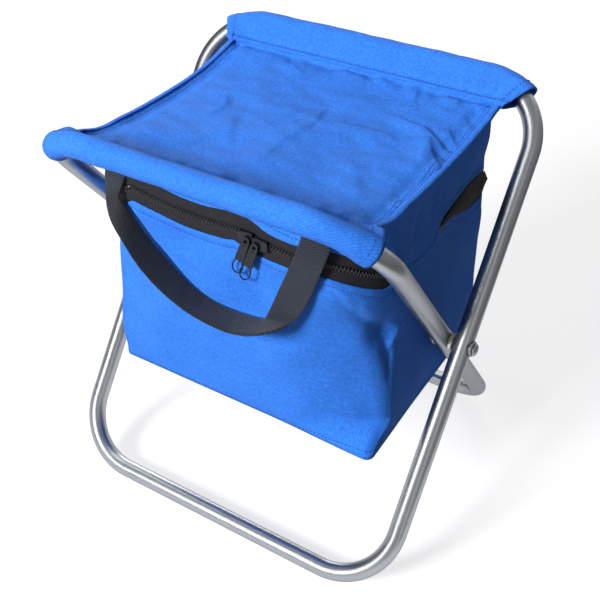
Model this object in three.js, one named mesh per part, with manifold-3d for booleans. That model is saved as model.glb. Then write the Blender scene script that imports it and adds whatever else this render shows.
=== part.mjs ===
// Folding cooler stool: two bent steel tube loops riveted as a scissor, a cloth seat slung
// between their top bars, and a foam-lined cooler bag that hangs under the seat behind a
// zip that runs round its front and both sides.
// Millimetres, +Z up, +Y to the back; the origin is on the floor below the middle.

import * as THREE from 'three';
import { mergeVertices } from 'three/addons/utils/BufferGeometryUtils.js';
import Module from 'manifold-3d';

const wasm = await Module();
wasm.setup();

const { degToRad, lerp, smoothstep, clamp } = THREE.MathUtils;
const quarterTurn = Math.PI / 2;
const halfTurn = Math.PI;

// Clearances that several pieces share
const fit = 0.3; // between neighbouring pieces
const softFit = 0.5; // between curved cloth pieces and what they cover
const overrun = 1; // how far a cutter passes what it cuts

// Tube loops
const tubeRadius = 8;
const tubeWall = 1.2;
const bendRadius = 55; // to the tube's centreline
const loopLength = 440; // foot bar centre to top bar centre, along a leg
const footToPivot = 222; // foot bar centre to pivot, along a leg
const legLean = degToRad(37.5); // from the vertical
const outerSpan = 326; // leg centre to leg centre of the wide loop
const legGap = 1; // between the tubes of crossing legs
const buttGap = 0.6; // where a loop's two tube ends meet, inside the cloth sleeve
const ferruleLength = 60;
const ferruleWall = 0.8;
const dentDepth = 2.5; // the narrow loop's legs are pressed flat where they are riveted
const dentLength = 52;
const dentFlatShare = 0.3;
const dentSpreadShare = 0.35;
const tubeSides = 20;
const boreSides = 10;
const bendSteps = 7;
const dentSteps = 6;

// Pivot rivets
const shankRadius = 3;
const headRadius = 5.5;
const headHeight = 3.2;
const clinchRadius = 4.8;
const clinchHeight = 2.2;
const saddleRadius = 6.8;
const saddleThickness = 1.2;
const spacerRadius = 7;
const rivetSides = 16;
const domeSteps = 3;

// Cloth sleeves round the top bars
const cloth = 1.2;
const sleeveShort = 6; // from the sewn seam's end to the narrow loop's leg
const sleeveReach = 25; // from the bar's centre to the sewn seam, level
const seamDrop = 10; // from the bar's centre down to the sewn seam
const beadRadius = 1.5;
const sleeveSides = 16;
const sleeveEndSteps = 5;

// Seat cloth between the two seams
const seatEdgeShort = 1; // the seat's corner stops short of the sleeve's end
const seatPullIn = 1.5; // how much the side edges draw in halfway
const seatSag = 14;
const seatCrown = 5;
const bindingCloth = 0.8;
const seatSteps = 10;

// Bag shell
const shell = 0.8; // cloth of the bag's walls
const bagSideGap = 11; // from the bag's side to the narrow loop's tube
const floorBelowPivot = 65;
const floorInset = 11; // front edge of the floor, behind the front seam
const backInset = 10; // the back wall, in front of the back seam
const topInset = 3; // the lid skirt's front, behind the front seam
const zipOutset = 4; // the zip's front run, before the front seam
const zipDrop = 38; // the zip's front run, below the seams
const zipSideDrop = 26; // the zip's side runs, below its front run
const floorCorner = 7;
const backCorner = 12;
const zipCorner = 55;
const topCorner = 40;
const frontBulge = 4;
const sideBulge = 2.5;
const wallRows = 4;
const cornerSteps = 6;
const sideSteps = 7;
const frontSteps = 6;
const seamRunShare = 0.5; // how far round a front corner the front and side pieces meet

// Insulation and liner
const foam = 4;
const liner = 0.5;
const lidFoam = 4;
const padSteps = 8;

// Zip
const tapeCloth = 0.6;
const tapeReach = 15; // tape edge from the zip's middle
const hemReach = 12; // cloth edge from the zip's middle
const coilReach = 2.3; // coil edge from the zip's middle
const coilGroove = 1.2; // between the two rows, where the slider's post runs
const coilProud = 1.2; // ridge height over the wall's outer face
const coilValley = 0.5;
const coilDepth = 2; // coil's back, behind the wall's outer face
const coilPitch = 9;
const zipEndShort = 1; // the zip's runs stop short of the back corners

// Sliders and pulls
const sliderLength = 12;
const sliderNose = 9;
const sliderPlate = 1.2;
const sliderLip = 0.9;
const postThickness = 0.6;
const postLength = 4;
const shoulderShare = 1 / 3; // of the half length, where a slider starts to narrow
const slidersInset = 51; // where the two closed sliders meet, in from the handle's right end
const slidersApart = 0.6;
const barRadius = 0.7;
const bailLeg = 0.9;
const bailForward = 2.7; // from the slider's middle towards its nose
const knuckleLength = 3.8;
const knuckleWall = 0.8;
const pullLength = 35.5; // pivot to the far side of its finger loop
const pullLean = degToRad(20); // both pulls hang askew to the left
const pullNeck = 1.6;
const pullShoulder = 5;
const pullShoulderDrop = 3.4;
const pullWidth = 6.4;
const pullTab = 22;
const pullThickness = 1.5;
const pullEye = 2.6; // hole below the knuckle
const pullEyeHeight = 4;
const pullEyeDrop = 4.6;
const loopWire = 1;
const loopHeight = 15.6;
const ringSides = 16;

// Pointed tails of the tape, turned over the zip's ends
const endTabLength = 50;
const endTabHeight = 22;
const endTabCloth = 1.2;
const endTabPastShell = 4;

// Carry handle, a hanging U of webbing
const webbing = 25;
const webbingCloth = 1.8;
const handleInset = 38; // a sewn end's middle, in from the bag's side
const handleDepth = 92; // sewn end to the bottom of the U
const handleStand = 1.8; // webbing's middle before the ridges of the zip
const anchorLength = 13;
const anchorDrop = 4; // sewn patch below the seam
const handleTwist = degToRad(76);
const handleTwistPower = 3;
const handleEasePower = 1.3; // crowds the steps towards the sewn ends
const handleSteps = 24;
const patchSteps = 4;
const arcSteps = 6;

// Places worked out from the sizes above
const topToPivot = loopLength - footToPivot;
const pivotHeight = footToPivot * Math.cos(legLean) + tubeRadius * Math.cos(halfTurn / tubeSides);
const innerSpan = outerSpan - 2 * (2 * tubeRadius + legGap);
const barY = topToPivot * Math.sin(legLean);
const barZ = pivotHeight + topToPivot * Math.cos(legLean);
const sleeveHalf = innerSpan / 2 - tubeRadius - sleeveShort;
const seamY = barY - sleeveReach;
const seamZ = barZ - seamDrop;
const bagHalf = innerSpan / 2 - tubeRadius - bagSideGap;
const bagBack = seamY - backInset;
const handleHalf = bagHalf - handleInset;
const slidersMeet = handleHalf - slidersInset;
const zipFrontZ = seamZ - zipDrop;
const zipSideZ = zipFrontZ - zipSideDrop;
const floorZ = pivotHeight - floorBelowPivot;
const skirtTopZ = seamZ - seatSag; // above this the lid skirt rises straight
const floorOutline = { half: bagHalf, front: floorInset - seamY, corner: floorCorner };
const zipOutline = { half: bagHalf, front: -zipOutset - seamY, corner: zipCorner };
const topOutline = { half: bagHalf - topInset / 2, front: topInset - seamY, corner: topCorner };
const tapeInset = shell + fit;
const foamInset = shell + softFit;
const linerInset = foamInset + foam + fit;
const lidInset = linerInset + liner + fit;
const seatOverhang = sleeveHalf - seatEdgeShort - seatPullIn - topOutline.half;
const bindingWidth = seatOverhang - softFit;

// Closed solids from points

function closedGeometry(points, faces) {
  const volume = faces.reduce((sum, [a, b, c]) => {
    const normal = new THREE.Vector3().crossVectors(points[b], points[c]);
    return sum + normal.dot(points[a]);
  }, 0);
  const outward = volume < 0 ? faces.map(([a, b, c]) => [a, c, b]) : faces;
  const geometry = new THREE.BufferGeometry();
  const numbers = points.flatMap((point) => point.toArray());
  geometry.setAttribute('position', new THREE.Float32BufferAttribute(numbers, 3));
  geometry.setIndex(outward.flat());
  geometry.computeVertexNormals();
  return geometry;
}

function band(faces, first, second, closed) {
  const count = closed ? first.length : first.length - 1;
  for (let i = 0; i < count; i += 1) {
    const next = (i + 1) % first.length;
    faces.push([first[i], first[next], second[next]], [first[i], second[next], second[i]]);
  }
}

function indexRings(rings) {
  const points = rings.flat();
  let start = 0;
  const indices = rings.map((ring) => ring.map(() => start++));
  return { points, indices };
}

// A pipe: its outer rings run one way and its inner rings run back
function pipeSolid(outerRings, innerRings) {
  const { points, indices } = indexRings([...outerRings, ...innerRings.toReversed()]);
  const faces = [];
  indices.forEach((ring, i) => band(faces, ring, indices[(i + 1) % indices.length], true));
  return closedGeometry(points, faces);
}

// A run of rings closed by a fan at each end
function cappedSolid(rings) {
  const { points, indices } = indexRings(rings);
  const faces = [];
  for (let i = 0; i + 1 < indices.length; i += 1) band(faces, indices[i], indices[i + 1], true);
  for (const [ring, turned] of [[indices[0], true], [indices.at(-1), false]]) {
    const middle = ring.reduce((sum, i) => sum.add(points[i]), new THREE.Vector3());
    const centre = points.push(middle.divideScalar(ring.length)) - 1;
    ring.forEach((from, i) => {
      const to = ring[(i + 1) % ring.length];
      faces.push(turned ? [to, from, centre] : [from, to, centre]);
    });
  }
  return closedGeometry(points, faces);
}

// A sheet with a face and a back: pointAt(row, column, layer), layer 0 on the face. Both
// sides are split along the same diagonals, so that layered sheets stay parallel.
function sheetSolid(rows, columns, pointAt) {
  const gridOf = (layer) => rows.map((row) => columns.map((column) => pointAt(row, column, layer)));
  const layers = [gridOf(0), gridOf(1)];
  const { points, indices } = indexRings(layers.flat());
  const face = indices.slice(0, rows.length);
  const back = indices.slice(rows.length);
  const faces = [];
  const underside = [];
  for (let i = 0; i + 1 < rows.length; i += 1) {
    band(faces, face[i], face[i + 1], false);
    band(underside, back[i], back[i + 1], false);
  }
  faces.push(...underside.map(([a, b, c]) => [a, c, b]));
  band(faces, back[0], face[0], false);
  band(faces, face.at(-1), back.at(-1), false);
  const edge = (grid, column) => grid.map((row) => row.at(column));
  band(faces, edge(face, 0), edge(back, 0), false);
  band(faces, edge(back, -1), edge(face, -1), false);
  return closedGeometry(points, faces);
}

function steps(from, to, count) {
  return Array.from({ length: count + 1 }, (_, i) => lerp(from, to, i / count));
}

// Booleans

function solidOf(geometry) {
  const bare = geometry.clone();
  bare.deleteAttribute('normal');
  bare.deleteAttribute('uv');
  const merged = mergeVertices(bare);
  const vertProperties = merged.attributes.position.array;
  return new wasm.Manifold(
    new wasm.Mesh({ numProp: 3, vertProperties, triVerts: Uint32Array.from(merged.index.array) }),
  );
}

function geometryOf(solid) {
  const mesh = solid.getMesh();
  const geometry = new THREE.BufferGeometry();
  geometry.setAttribute('position', new THREE.Float32BufferAttribute(mesh.vertProperties, 3));
  geometry.setIndex(Array.from(mesh.triVerts));
  geometry.computeVertexNormals();
  return geometry;
}

function joined(...geometries) {
  return geometryOf(geometries.map(solidOf).reduce((sum, solid) => sum.add(solid)));
}

function cut(geometry, ...cutters) {
  const rest = cutters.map(solidOf).reduce((left, cutter) => left.subtract(cutter), solidOf(geometry));
  return geometryOf(rest);
}

function cylinderAlongX(radius, from, to, sides) {
  const cylinder = new THREE.CylinderGeometry(radius, radius, to - from, sides);
  return cylinder.rotateZ(quarterTurn).translate((from + to) / 2, 0, 0);
}

function box(size, centre) {
  return new THREE.BoxGeometry(...size).translate(...centre);
}

// Tube loops, drawn in their own plane: x across, z along the legs, zero at the pivot

function bendStations(centreX, centreZ, startAngle) {
  return steps(0, quarterTurn, bendSteps).map((turn) => {
    const normal = new THREE.Vector3(Math.cos(startAngle - turn), 0, Math.sin(startAngle - turn));
    const point = normal.clone().multiplyScalar(bendRadius);
    return { point: point.add(new THREE.Vector3(centreX, 0, centreZ)), normal, dent: 0 };
  });
}

function legStations(x, downwards) {
  const normal = new THREE.Vector3(Math.sign(x), 0, 0);
  const ends = downwards ? [dentLength / 2, -dentLength / 2] : [-dentLength / 2, dentLength / 2];
  return steps(ends[0], ends[1], dentSteps).map((z) => {
    const share = 1 - Math.abs(z) / (dentLength / 2);
    const dent = smoothstep(share, 0, 1 - dentFlatShare);
    return { point: new THREE.Vector3(x, 0, z), normal, dent };
  });
}

function loopStations(span, pressed) {
  const side = span / 2;
  const leg = (x, downwards) => (pressed ? legStations(x, downwards) : []);
  const inner = side - bendRadius;
  const up = new THREE.Vector3(0, 0, 1);
  const end = (sign) => ({
    point: new THREE.Vector3((sign * buttGap) / 2, 0, topToPivot),
    normal: up,
    dent: 0,
  });
  const top = topToPivot - bendRadius;
  const bottom = bendRadius - footToPivot;
  return [
    end(1),
    ...bendStations(inner, top, quarterTurn),
    ...leg(side, true),
    ...bendStations(inner, bottom, 0),
    ...bendStations(-inner, bottom, -quarterTurn),
    ...leg(-side, false),
    ...bendStations(-inner, top, -halfTurn),
    end(-1),
  ];
}

function loopRing({ point, normal, dent }, radius, sides, facing, pressed) {
  const across = new THREE.Vector3(0, facing, 0);
  const crown = radius - pressed * dent;
  return Array.from({ length: sides }, (_, i) => {
    const angle = legLean + (2 * i + 1) * (halfTurn / sides);
    const out = Math.min(radius * Math.cos(angle), crown);
    const spread = (dentSpreadShare * pressed * dent * Math.max(0, Math.cos(angle))) / tubeRadius;
    const sideways = radius * Math.sin(angle) * (1 + spread);
    return point.clone().addScaledVector(normal, out).addScaledVector(across, sideways);
  });
}

function tubeLoop(span, facing, pressed) {
  const stations = loopStations(span, pressed);
  const bore = tubeRadius - tubeWall;
  const outside = stations.map((one) => loopRing(one, tubeRadius, tubeSides, facing, pressed));
  const inside = stations.map((one) => loopRing(one, bore, boreSides, facing, pressed));
  const reach = span / 2 + tubeRadius + overrun;
  const rivetHole = cylinderAlongX(shankRadius + fit, -reach, reach, rivetSides);
  return cut(unequalPipe(outside, inside), rivetHole);
}

// A pipe whose outside has twice as many sides as its bore
function unequalPipe(outerRings, innerRings) {
  const { points, indices } = indexRings([...outerRings, ...innerRings]);
  const outer = indices.slice(0, outerRings.length);
  const inner = indices.slice(outerRings.length);
  const faces = [];
  for (let i = 0; i + 1 < outer.length; i += 1) {
    band(faces, outer[i], outer[i + 1], true);
    band(faces, inner[i + 1], inner[i], true);
  }
  const ends = [[outer[0], inner[0], false], [outer.at(-1), inner.at(-1), true]];
  for (const [wide, narrow, turned] of ends) {
    narrow.forEach((from, i) => {
      const to = narrow[(i + 1) % narrow.length];
      const [a, b, c] = [0, 1, 2].map((k) => wide[(2 * i + k) % wide.length]);
      const fan = [[from, b, a], [from, to, b], [to, c, b]];
      faces.push(...(turned ? fan.map(([p, q, r]) => [p, r, q]) : fan));
    });
  }
  return closedGeometry(points, faces);
}

function ferrule() {
  const outside = tubeRadius - tubeWall - 2 * fit;
  const half = ferruleLength / 2;
  const inside = outside - ferruleWall;
  const corners = [[inside, -half], [outside, -half], [outside, half], [inside, half], [inside, -half]];
  const profile = corners.map(([radius, along]) => new THREE.Vector2(radius, along));
  const ring = new THREE.LatheGeometry(profile, tubeSides);
  return ring.rotateZ(quarterTurn).translate(0, 0, topToPivot);
}

// Pivot hardware, drawn at the right pair of legs

const outerCrown = outerSpan / 2 + tubeRadius;
const innerFace = innerSpan / 2 - tubeRadius;

function rivet() {
  const headBase = outerCrown + fit + saddleThickness + fit;
  const clinchBase = innerFace - fit - saddleThickness - fit;
  const dome = (radius, height, base, outwards) => steps(0, quarterTurn, domeSteps).map((turn) => {
    const along = base + outwards * height * Math.sin(turn);
    return new THREE.Vector2(radius * Math.cos(turn), along);
  });
  const clinch = dome(clinchRadius, clinchHeight, clinchBase, -1).reverse();
  const head = dome(headRadius, headHeight, headBase, 1);
  clinch[0].x = 0;
  head.at(-1).x = 0;
  const shank = [clinchBase, headBase].map((along) => new THREE.Vector2(shankRadius, along));
  const profile = [...clinch, ...shank, ...head];
  return new THREE.LatheGeometry(profile, rivetSides).rotateZ(-quarterTurn);
}

// A curved washer that sits on a leg's round side: outwards is 1 away from the middle
function saddle(crown, outwards) {
  const seat = crown + outwards * fit;
  const skirt = crown - (outwards * tubeRadius) / 2;
  const top = seat + outwards * saddleThickness;
  const blank = cylinderAlongX(saddleRadius, Math.min(skirt, top), Math.max(skirt, top), rivetSides);
  const legRadius = tubeRadius + fit;
  const leg = new THREE.CylinderGeometry(legRadius, legRadius, 2 * saddleRadius + overrun, 2 * tubeSides);
  const legCutter = leg.rotateX(quarterTurn).translate(crown - outwards * tubeRadius, 0, 0);
  const hole = cylinderAlongX(shankRadius + fit, crown - tubeRadius, crown + tubeRadius, rivetSides);
  return cut(blank, legCutter, hole);
}

function spacer() {
  const from = innerSpan / 2 + tubeRadius - dentDepth + fit;
  const to = outerSpan / 2 - tubeRadius - fit;
  const disc = cylinderAlongX(spacerRadius, from, to, rivetSides);
  const hole = cylinderAlongX(shankRadius + fit, from - overrun, to + overrun, rivetSides);
  return cut(disc, hole);
}

// Sleeves: each section is the hull of the tube and the sewn seam. Past the straight bar the
// sections turn with the bend, up to where the seam ends.

const hug = tubeRadius + fit + softFit;
const [leanSine, leanCosine] = [Math.sin(legLean), Math.cos(legLean)];
const seamBelowBar = sleeveReach * leanSine + seamDrop * leanCosine;
const seamAside = seamDrop * leanSine - sleeveReach * leanCosine;

function sleeveRing(turn, side, span, facing, skin) {
  const up = new THREE.Vector3(0, facing * leanSine, leanCosine);
  const aside = new THREE.Vector3(0, facing * leanCosine, -leanSine);
  const centre = up.clone().multiplyScalar(-bendRadius).setX(side * (span / 2 - bendRadius));
  const outwards = up.clone().multiplyScalar(Math.cos(turn)).setX(side * Math.sin(turn));
  const circles = [
    [bendRadius, 0, hug + skin],
    [(bendRadius - seamBelowBar) / Math.cos(turn), seamAside, beadRadius - cloth + skin],
  ];
  return Array.from({ length: sleeveSides }, (_, i) => {
    const angle = (i * 2 * halfTurn) / sleeveSides;
    const [c, s] = [Math.cos(angle), Math.sin(angle)];
    const reaches = circles.map(([out, across, radius]) => out * c + across * s + radius);
    const [out, across, radius] = circles[reaches.indexOf(Math.max(...reaches))];
    const point = centre.clone().addScaledVector(outwards, out + c * radius);
    return point.addScaledVector(aside, across + s * radius);
  });
}

function sleeve(span, facing) {
  const straight = span / 2 - bendRadius;
  const fullTurn = Math.atan((sleeveHalf - straight) / (bendRadius - seamBelowBar));
  const turns = steps(0, fullTurn, sleeveEndSteps);
  const places = [...turns.toReversed().map((turn) => [turn, -1]), ...turns.map((turn) => [turn, 1])];
  return pipeSolid(
    places.map(([turn, side]) => sleeveRing(turn, side, span, facing, cloth)),
    places.map(([turn, side]) => sleeveRing(turn, side, span, facing, 0)),
  );
}

// Seat: a saddle that sags between the seams, draws in at the sides and swells in the middle

const seatReach = seamY - beadRadius - fit;

function seatHalfAt(y) {
  return sleeveHalf - seatEdgeShort - seatPullIn * (1 - (y / seatReach) ** 2);
}

function seatMiddleZ(x, y) {
  const along = clamp(1 - (y / seatReach) ** 2, 0, 1);
  const across = clamp(1 - (x / sleeveHalf) ** 2, 0, 1);
  return seamZ - seatSag * along + seatCrown * along * across;
}

function seatUnder(x, y) {
  return seatMiddleZ(x, y) - cloth / 2;
}

function seatPanel() {
  const rows = steps(-seatReach, seatReach, seatSteps);
  const shares = steps(-1, 1, seatSteps);
  return sheetSolid(rows, shares, (y, share, layer) => {
    const x = share * seatHalfAt(y);
    return new THREE.Vector3(x, y, seatMiddleZ(x, y) + (0.5 - layer) * cloth);
  });
}

// A folded strip round one side edge of the seat
function sideBinding(side) {
  const reach = seatReach - fit;
  const rows = steps(-reach, reach, seatSteps);
  return sheetSolid(rows, [0, 1, 2, 3], (y, corner, layer) => {
    const edge = seatHalfAt(y);
    const skin = fit + (1 - layer) * bindingCloth;
    const x = corner === 0 || corner === 3 ? edge - bindingWidth : edge + skin;
    const up = corner < 2 ? 1 : -1;
    const middle = seatMiddleZ(Math.min(x, edge), y);
    return new THREE.Vector3(side * x, y, middle + up * (cloth / 2 + skin));
  });
}

// Bag walls: a place on them is a height and a run value. The run goes 0-1 up the left side
// to the front, 1-2 round the left front corner, 2-3 along the front, 3-4 and 4-5 back down
// the right side, then 5-8 round the back to where it began.

const [middleShare, runShares, lapShares] = [2.5, 5, 8];
const leftSeam = 1 + seamRunShare;
const rightSeam = 4 - seamRunShare;

function zipHeight(run) {
  const fromLeft = smoothstep(run, 1, 2);
  const fromRight = 1 - smoothstep(run, 3, 4);
  return lerp(zipSideZ, zipFrontZ, Math.min(fromLeft, fromRight));
}

function skirtShare(z, zip) {
  return (z - zip - hemReach) / (skirtTopZ - zip - hemReach);
}

function outlineAt(run, z) {
  const zip = zipHeight(run);
  const [low, high, share] = z < zip
    ? [floorOutline, zipOutline, (z - floorZ) / (zip - hemReach - floorZ)]
    : [zipOutline, topOutline, skirtShare(z, zip)];
  const part = clamp(share, 0, 1);
  return {
    half: lerp(low.half, high.half, part),
    front: lerp(low.front, high.front, part),
    corner: lerp(low.corner, high.corner, part),
    swell: z < zip ? Math.sin(part * halfTurn) : 0,
  };
}

// trim moves the place along the wall, for the gap at a seam; inset moves it inwards
function wallPoint(z, run, inset, trim = 0) {
  const { half, front, corner, swell } = outlineAt(run, z);
  const leg = Math.floor(Math.min(run, lapShares - Number.EPSILON * lapShares));
  const share = run - leg;
  const sideEnd = bagBack - backCorner;
  const sideStart = front + corner;
  const radius = leg < runShares ? corner : backCorner;
  const turn = share * quarterTurn + trim / radius;
  const onSide = [0, 4].includes(leg);
  const bulge = onSide ? sideBulge : frontBulge;
  const out = swell * Math.sin(share * halfTurn) * bulge - inset;
  const place = (x, y, nx, ny, reach) => new THREE.Vector3(x + nx * reach, y + ny * reach, z);
  const straight = (x, y, nx, ny) => place(x, y, nx, ny, out);
  const round = (x, y, nx, ny) => place(x, y, nx, ny, radius - inset);
  const [c, s] = [Math.cos(turn), Math.sin(turn)];
  const legs = [
    () => straight(-half, lerp(sideEnd, sideStart, share) - trim, -1, 0),
    () => round(radius - half, sideStart, -c, -s),
    () => straight(lerp(corner - half, half - corner, share) + trim, front, 0, -1),
    () => round(half - radius, sideStart, s, -c),
    () => straight(half, lerp(sideStart, sideEnd, share) + trim, 1, 0),
    () => round(half - radius, sideEnd, c, s),
    () => straight(lerp(half - radius, radius - half, share) - trim, bagBack, 0, 1),
    () => round(radius - half, sideEnd, -s, c),
  ];
  return legs[leg]();
}

const halfLapSteps = [sideSteps, cornerSteps, frontSteps, cornerSteps];
const legSteps = [...halfLapSteps, ...halfLapSteps];

function runPlaces(from, to) {
  const all = legSteps.flatMap((count, leg) => steps(leg, leg + 1, count).slice(0, -1));
  return [from, ...all.filter((run) => run > from && run < to), to];
}

// The seat's underside right above a place on the wall
function underSeat(run, inset) {
  let z = seamZ;
  for (let pass = 0; pass < wallRows; pass += 1) {
    const { x, y } = wallPoint(z, run, inset);
    z = seatUnder(x, y) - softFit;
  }
  return z;
}

function wall(from, to, outside, thickness, low, high) {
  const places = runPlaces(from, to);
  const shares = steps(0, 1, wallRows);
  return sheetSolid(places, shares, (run, share, layer) => {
    const inset = outside + layer * thickness;
    const trim = ((run === from) - (run === to)) * (fit / 2);
    return wallPoint(lerp(low(run, inset), high(run, inset), share), run, inset, trim);
  });
}

const aboveFloor = () => floorZ + shell + fit;
const aboveFoam = () => floorZ + shell + fit + foam + fit;
const belowHem = (run) => zipHeight(run) - hemReach;
const belowTape = (run) => zipHeight(run) - tapeReach - fit;

function shellWall(from, to, high) {
  return wall(from, to, 0, shell, aboveFloor, high);
}

function foamWall(from, to, high) {
  return wall(from, to, foamInset, foam, aboveFloor, high);
}

function lidSkirt() {
  const low = (run) => zipHeight(run) + hemReach;
  return wall(0, runShares, 0, shell, low, underSeat);
}

function levelPlate(bottom, thickness, inset) {
  const ring = (z) => runPlaces(0, lapShares).slice(0, -1).map((run) => {
    const { x, y } = wallPoint(bottom, run, inset);
    return new THREE.Vector3(x, y, z);
  });
  return cappedSolid([ring(bottom), ring(bottom + thickness)]);
}

// Open-topped liner: the outside rings go up, the inside rings come down
function bagLiner() {
  const bottom = aboveFoam();
  const laps = runPlaces(0, lapShares).slice(0, -1);
  const atBack = (run) => run > runShares && run < lapShares;
  const top = (run) => (atBack(run) ? underSeat(run, linerInset) - fit : belowTape(run));
  const place = (run, share, inset, floor) => wallPoint(lerp(floor, top(run), share), run, inset);
  const ring = (share, inset, floor) => laps.map((run) => place(run, share, inset, floor));
  const shares = steps(0, 1, wallRows);
  return cappedSolid([
    ...shares.map((share) => ring(share, linerInset, bottom)),
    ...shares.toReversed().map((share) => ring(share, linerInset + liner, bottom + liner)),
  ]);
}

// A pad or foil that lies under the seat, inside the walls
function lidLayer(gap, thickness) {
  const back = bagBack - lidInset;
  const front = topOutline.front + lidInset;
  const half = topOutline.half - lidInset;
  const ends = [[topCorner - lidInset, front, 1], [backCorner - lidInset, back, -1]];
  const rows = steps(front, back, padSteps);
  return sheetSolid(rows, steps(-1, 1, padSteps), (y, share, layer) => {
    const rounding = ends.map(([corner, end, inwards]) => {
      const into = clamp((end + inwards * corner - y) / (inwards * corner), 0, 1);
      return corner * (1 - Math.sqrt(1 - into * into));
    });
    const x = share * (half - Math.max(...rounding));
    return new THREE.Vector3(x, y, seatUnder(x, y) - gap - layer * thickness);
  });
}

// Zip: two tapes and two ridged coil rows, which leave a groove for the sliders' posts

const zipStart = zipEndShort / (bagBack - backCorner - zipOutline.front - zipCorner);

function zipBand(low, high, outside, thickness) {
  const rings = runPlaces(zipStart, runShares - zipStart).map((run) => {
    const middle = zipHeight(run);
    const corner = (z, inset) => wallPoint(middle + z, run, inset);
    const inside = outside + thickness;
    return [corner(low, outside), corner(high, outside), corner(high, inside), corner(low, inside)];
  });
  return cappedSolid(rings);
}

function coilPlaces() {
  const corner = quarterTurn * zipCorner;
  const side = bagBack - backCorner - zipOutline.front - zipCorner;
  const front = 2 * (zipOutline.half - zipCorner);
  const lengths = [side, corner, front, corner, side];
  const ridges = lengths.map((length) => Math.round(length / coilPitch));
  const places = ridges.flatMap((count, leg) => steps(leg, leg + 1, 2 * count).slice(0, -1));
  return [zipStart, ...places.filter((run) => run > zipStart && run < runShares - zipStart)];
}

function coilRow(low, high) {
  const rings = coilPlaces().map((run, i) => {
    const outside = i % 2 ? -coilProud : -coilValley;
    const corner = (z, inset) => wallPoint(zipHeight(run) + z, run, inset);
    return [corner(low, outside), corner(high, outside), corner(high, coilDepth), corner(low, coilDepth)];
  });
  return cappedSolid(rings);
}

// Sliders ride the front run; their wide noses meet. toLeft is -1 for the left one.

const sliderTail = 2 * (coilReach + fit + sliderLip);
const sliderFace = zipOutline.front - coilProud - fit;
const bailY = sliderFace - sliderPlate - fit - knuckleWall - fit - barRadius;

function sliderX(toLeft) {
  return slidersMeet + (toLeft * (sliderLength + slidersApart)) / 2;
}

function bailX(toLeft) {
  return -toLeft * bailForward;
}

function sliderOutline(toLeft) {
  const nose = (-toLeft * sliderLength) / 2;
  const shoulder = nose * shoulderShare;
  const outline = new THREE.Shape();
  outline.moveTo(nose, -sliderNose / 2);
  outline.lineTo(nose, sliderNose / 2);
  outline.lineTo(shoulder, sliderNose / 2);
  outline.lineTo(-nose, sliderTail / 2);
  outline.lineTo(-nose, -sliderTail / 2);
  outline.lineTo(shoulder, -sliderNose / 2);
  return outline;
}

// Extrudes an outline drawn in x and z so that it spans y from front to front + depth
function plateFacingFront(outline, front, depth) {
  const plate = new THREE.ExtrudeGeometry(outline, { depth, bevelEnabled: false, curveSegments: arcSteps });
  return plate.rotateX(quarterTurn).translate(0, front + depth, 0);
}

function slider(toLeft) {
  const outline = sliderOutline(toLeft);
  const back = zipOutline.front + coilDepth + fit;
  const outer = plateFacingFront(outline, sliderFace - sliderPlate, sliderPlate);
  const inner = plateFacingFront(outline, back, sliderPlate);
  const plateMiddle = sliderFace - sliderPlate / 2;
  const postDepth = back + sliderPlate / 2 - plateMiddle;
  const post = box([postLength, postDepth, postThickness], [0, plateMiddle + postDepth / 2, 0]);
  const lipDepth = sliderPlate / 2 + coilProud + tapeInset;
  const lipZ = (sliderTail - sliderLip) / 2;
  const lips = [-1, 1].map((up) => box(
    [sliderLength, lipDepth, sliderLip],
    [0, plateMiddle + lipDepth / 2, up * lipZ],
  ));
  const legDepth = plateMiddle - bailY + barRadius;
  const legX = (knuckleLength + bailLeg) / 2 + fit;
  const legs = [-1, 1].map((sign) => box(
    [bailLeg, legDepth, 2 * barRadius],
    [bailX(toLeft) + sign * legX, bailY - barRadius + legDepth / 2, 0],
  ));
  const bar = cylinderAlongX(barRadius, -legX, legX, boreSides).translate(bailX(toLeft), bailY, 0);
  const whole = joined(outer, inner, post, ...lips, ...legs, bar);
  return whole.translate(sliderX(toLeft), 0, zipFrontZ);
}

function pull(toLeft) {
  const body = new THREE.Shape();
  body.moveTo(-pullNeck / 2, 0);
  body.lineTo(pullNeck / 2, 0);
  body.lineTo(pullShoulder / 2, -pullShoulderDrop);
  body.lineTo(pullWidth / 2, -pullTab);
  body.lineTo(-pullWidth / 2, -pullTab);
  body.lineTo(-pullShoulder / 2, -pullShoulderDrop);
  const oval = (inset) => {
    const outline = new THREE.Shape();
    const [wide, tall] = [pullWidth / 2 - inset, loopHeight / 2 - inset];
    return outline.absellipse(0, loopHeight / 2 - pullLength, wide, tall, 0, 2 * halfTurn);
  };
  const wire = oval(0);
  wire.holes.push(oval(loopWire));
  const tab = plateFacingFront(body, bailY - pullThickness / 2, pullThickness);
  const loop = plateFacingFront(wire, bailY - loopWire / 2, loopWire);
  const eye = box([pullEye, pullThickness + overrun, pullEyeHeight], [0, bailY, -pullEyeDrop]);
  const hanging = [tab, loop, eye].map((piece) => piece.rotateY(pullLean));
  const bore = barRadius + fit;
  const knuckle = cylinderAlongX(bore + knuckleWall, -knuckleLength / 2, knuckleLength / 2, ringSides);
  const pin = cylinderAlongX(bore, -knuckleLength, knuckleLength, ringSides);
  const whole = joined(hanging[0], hanging[1], knuckle.translate(0, bailY, 0));
  const bored = cut(whole, hanging[2], pin.translate(0, bailY, 0));
  return bored.translate(sliderX(toLeft) + bailX(toLeft), 0, zipFrontZ);
}

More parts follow.
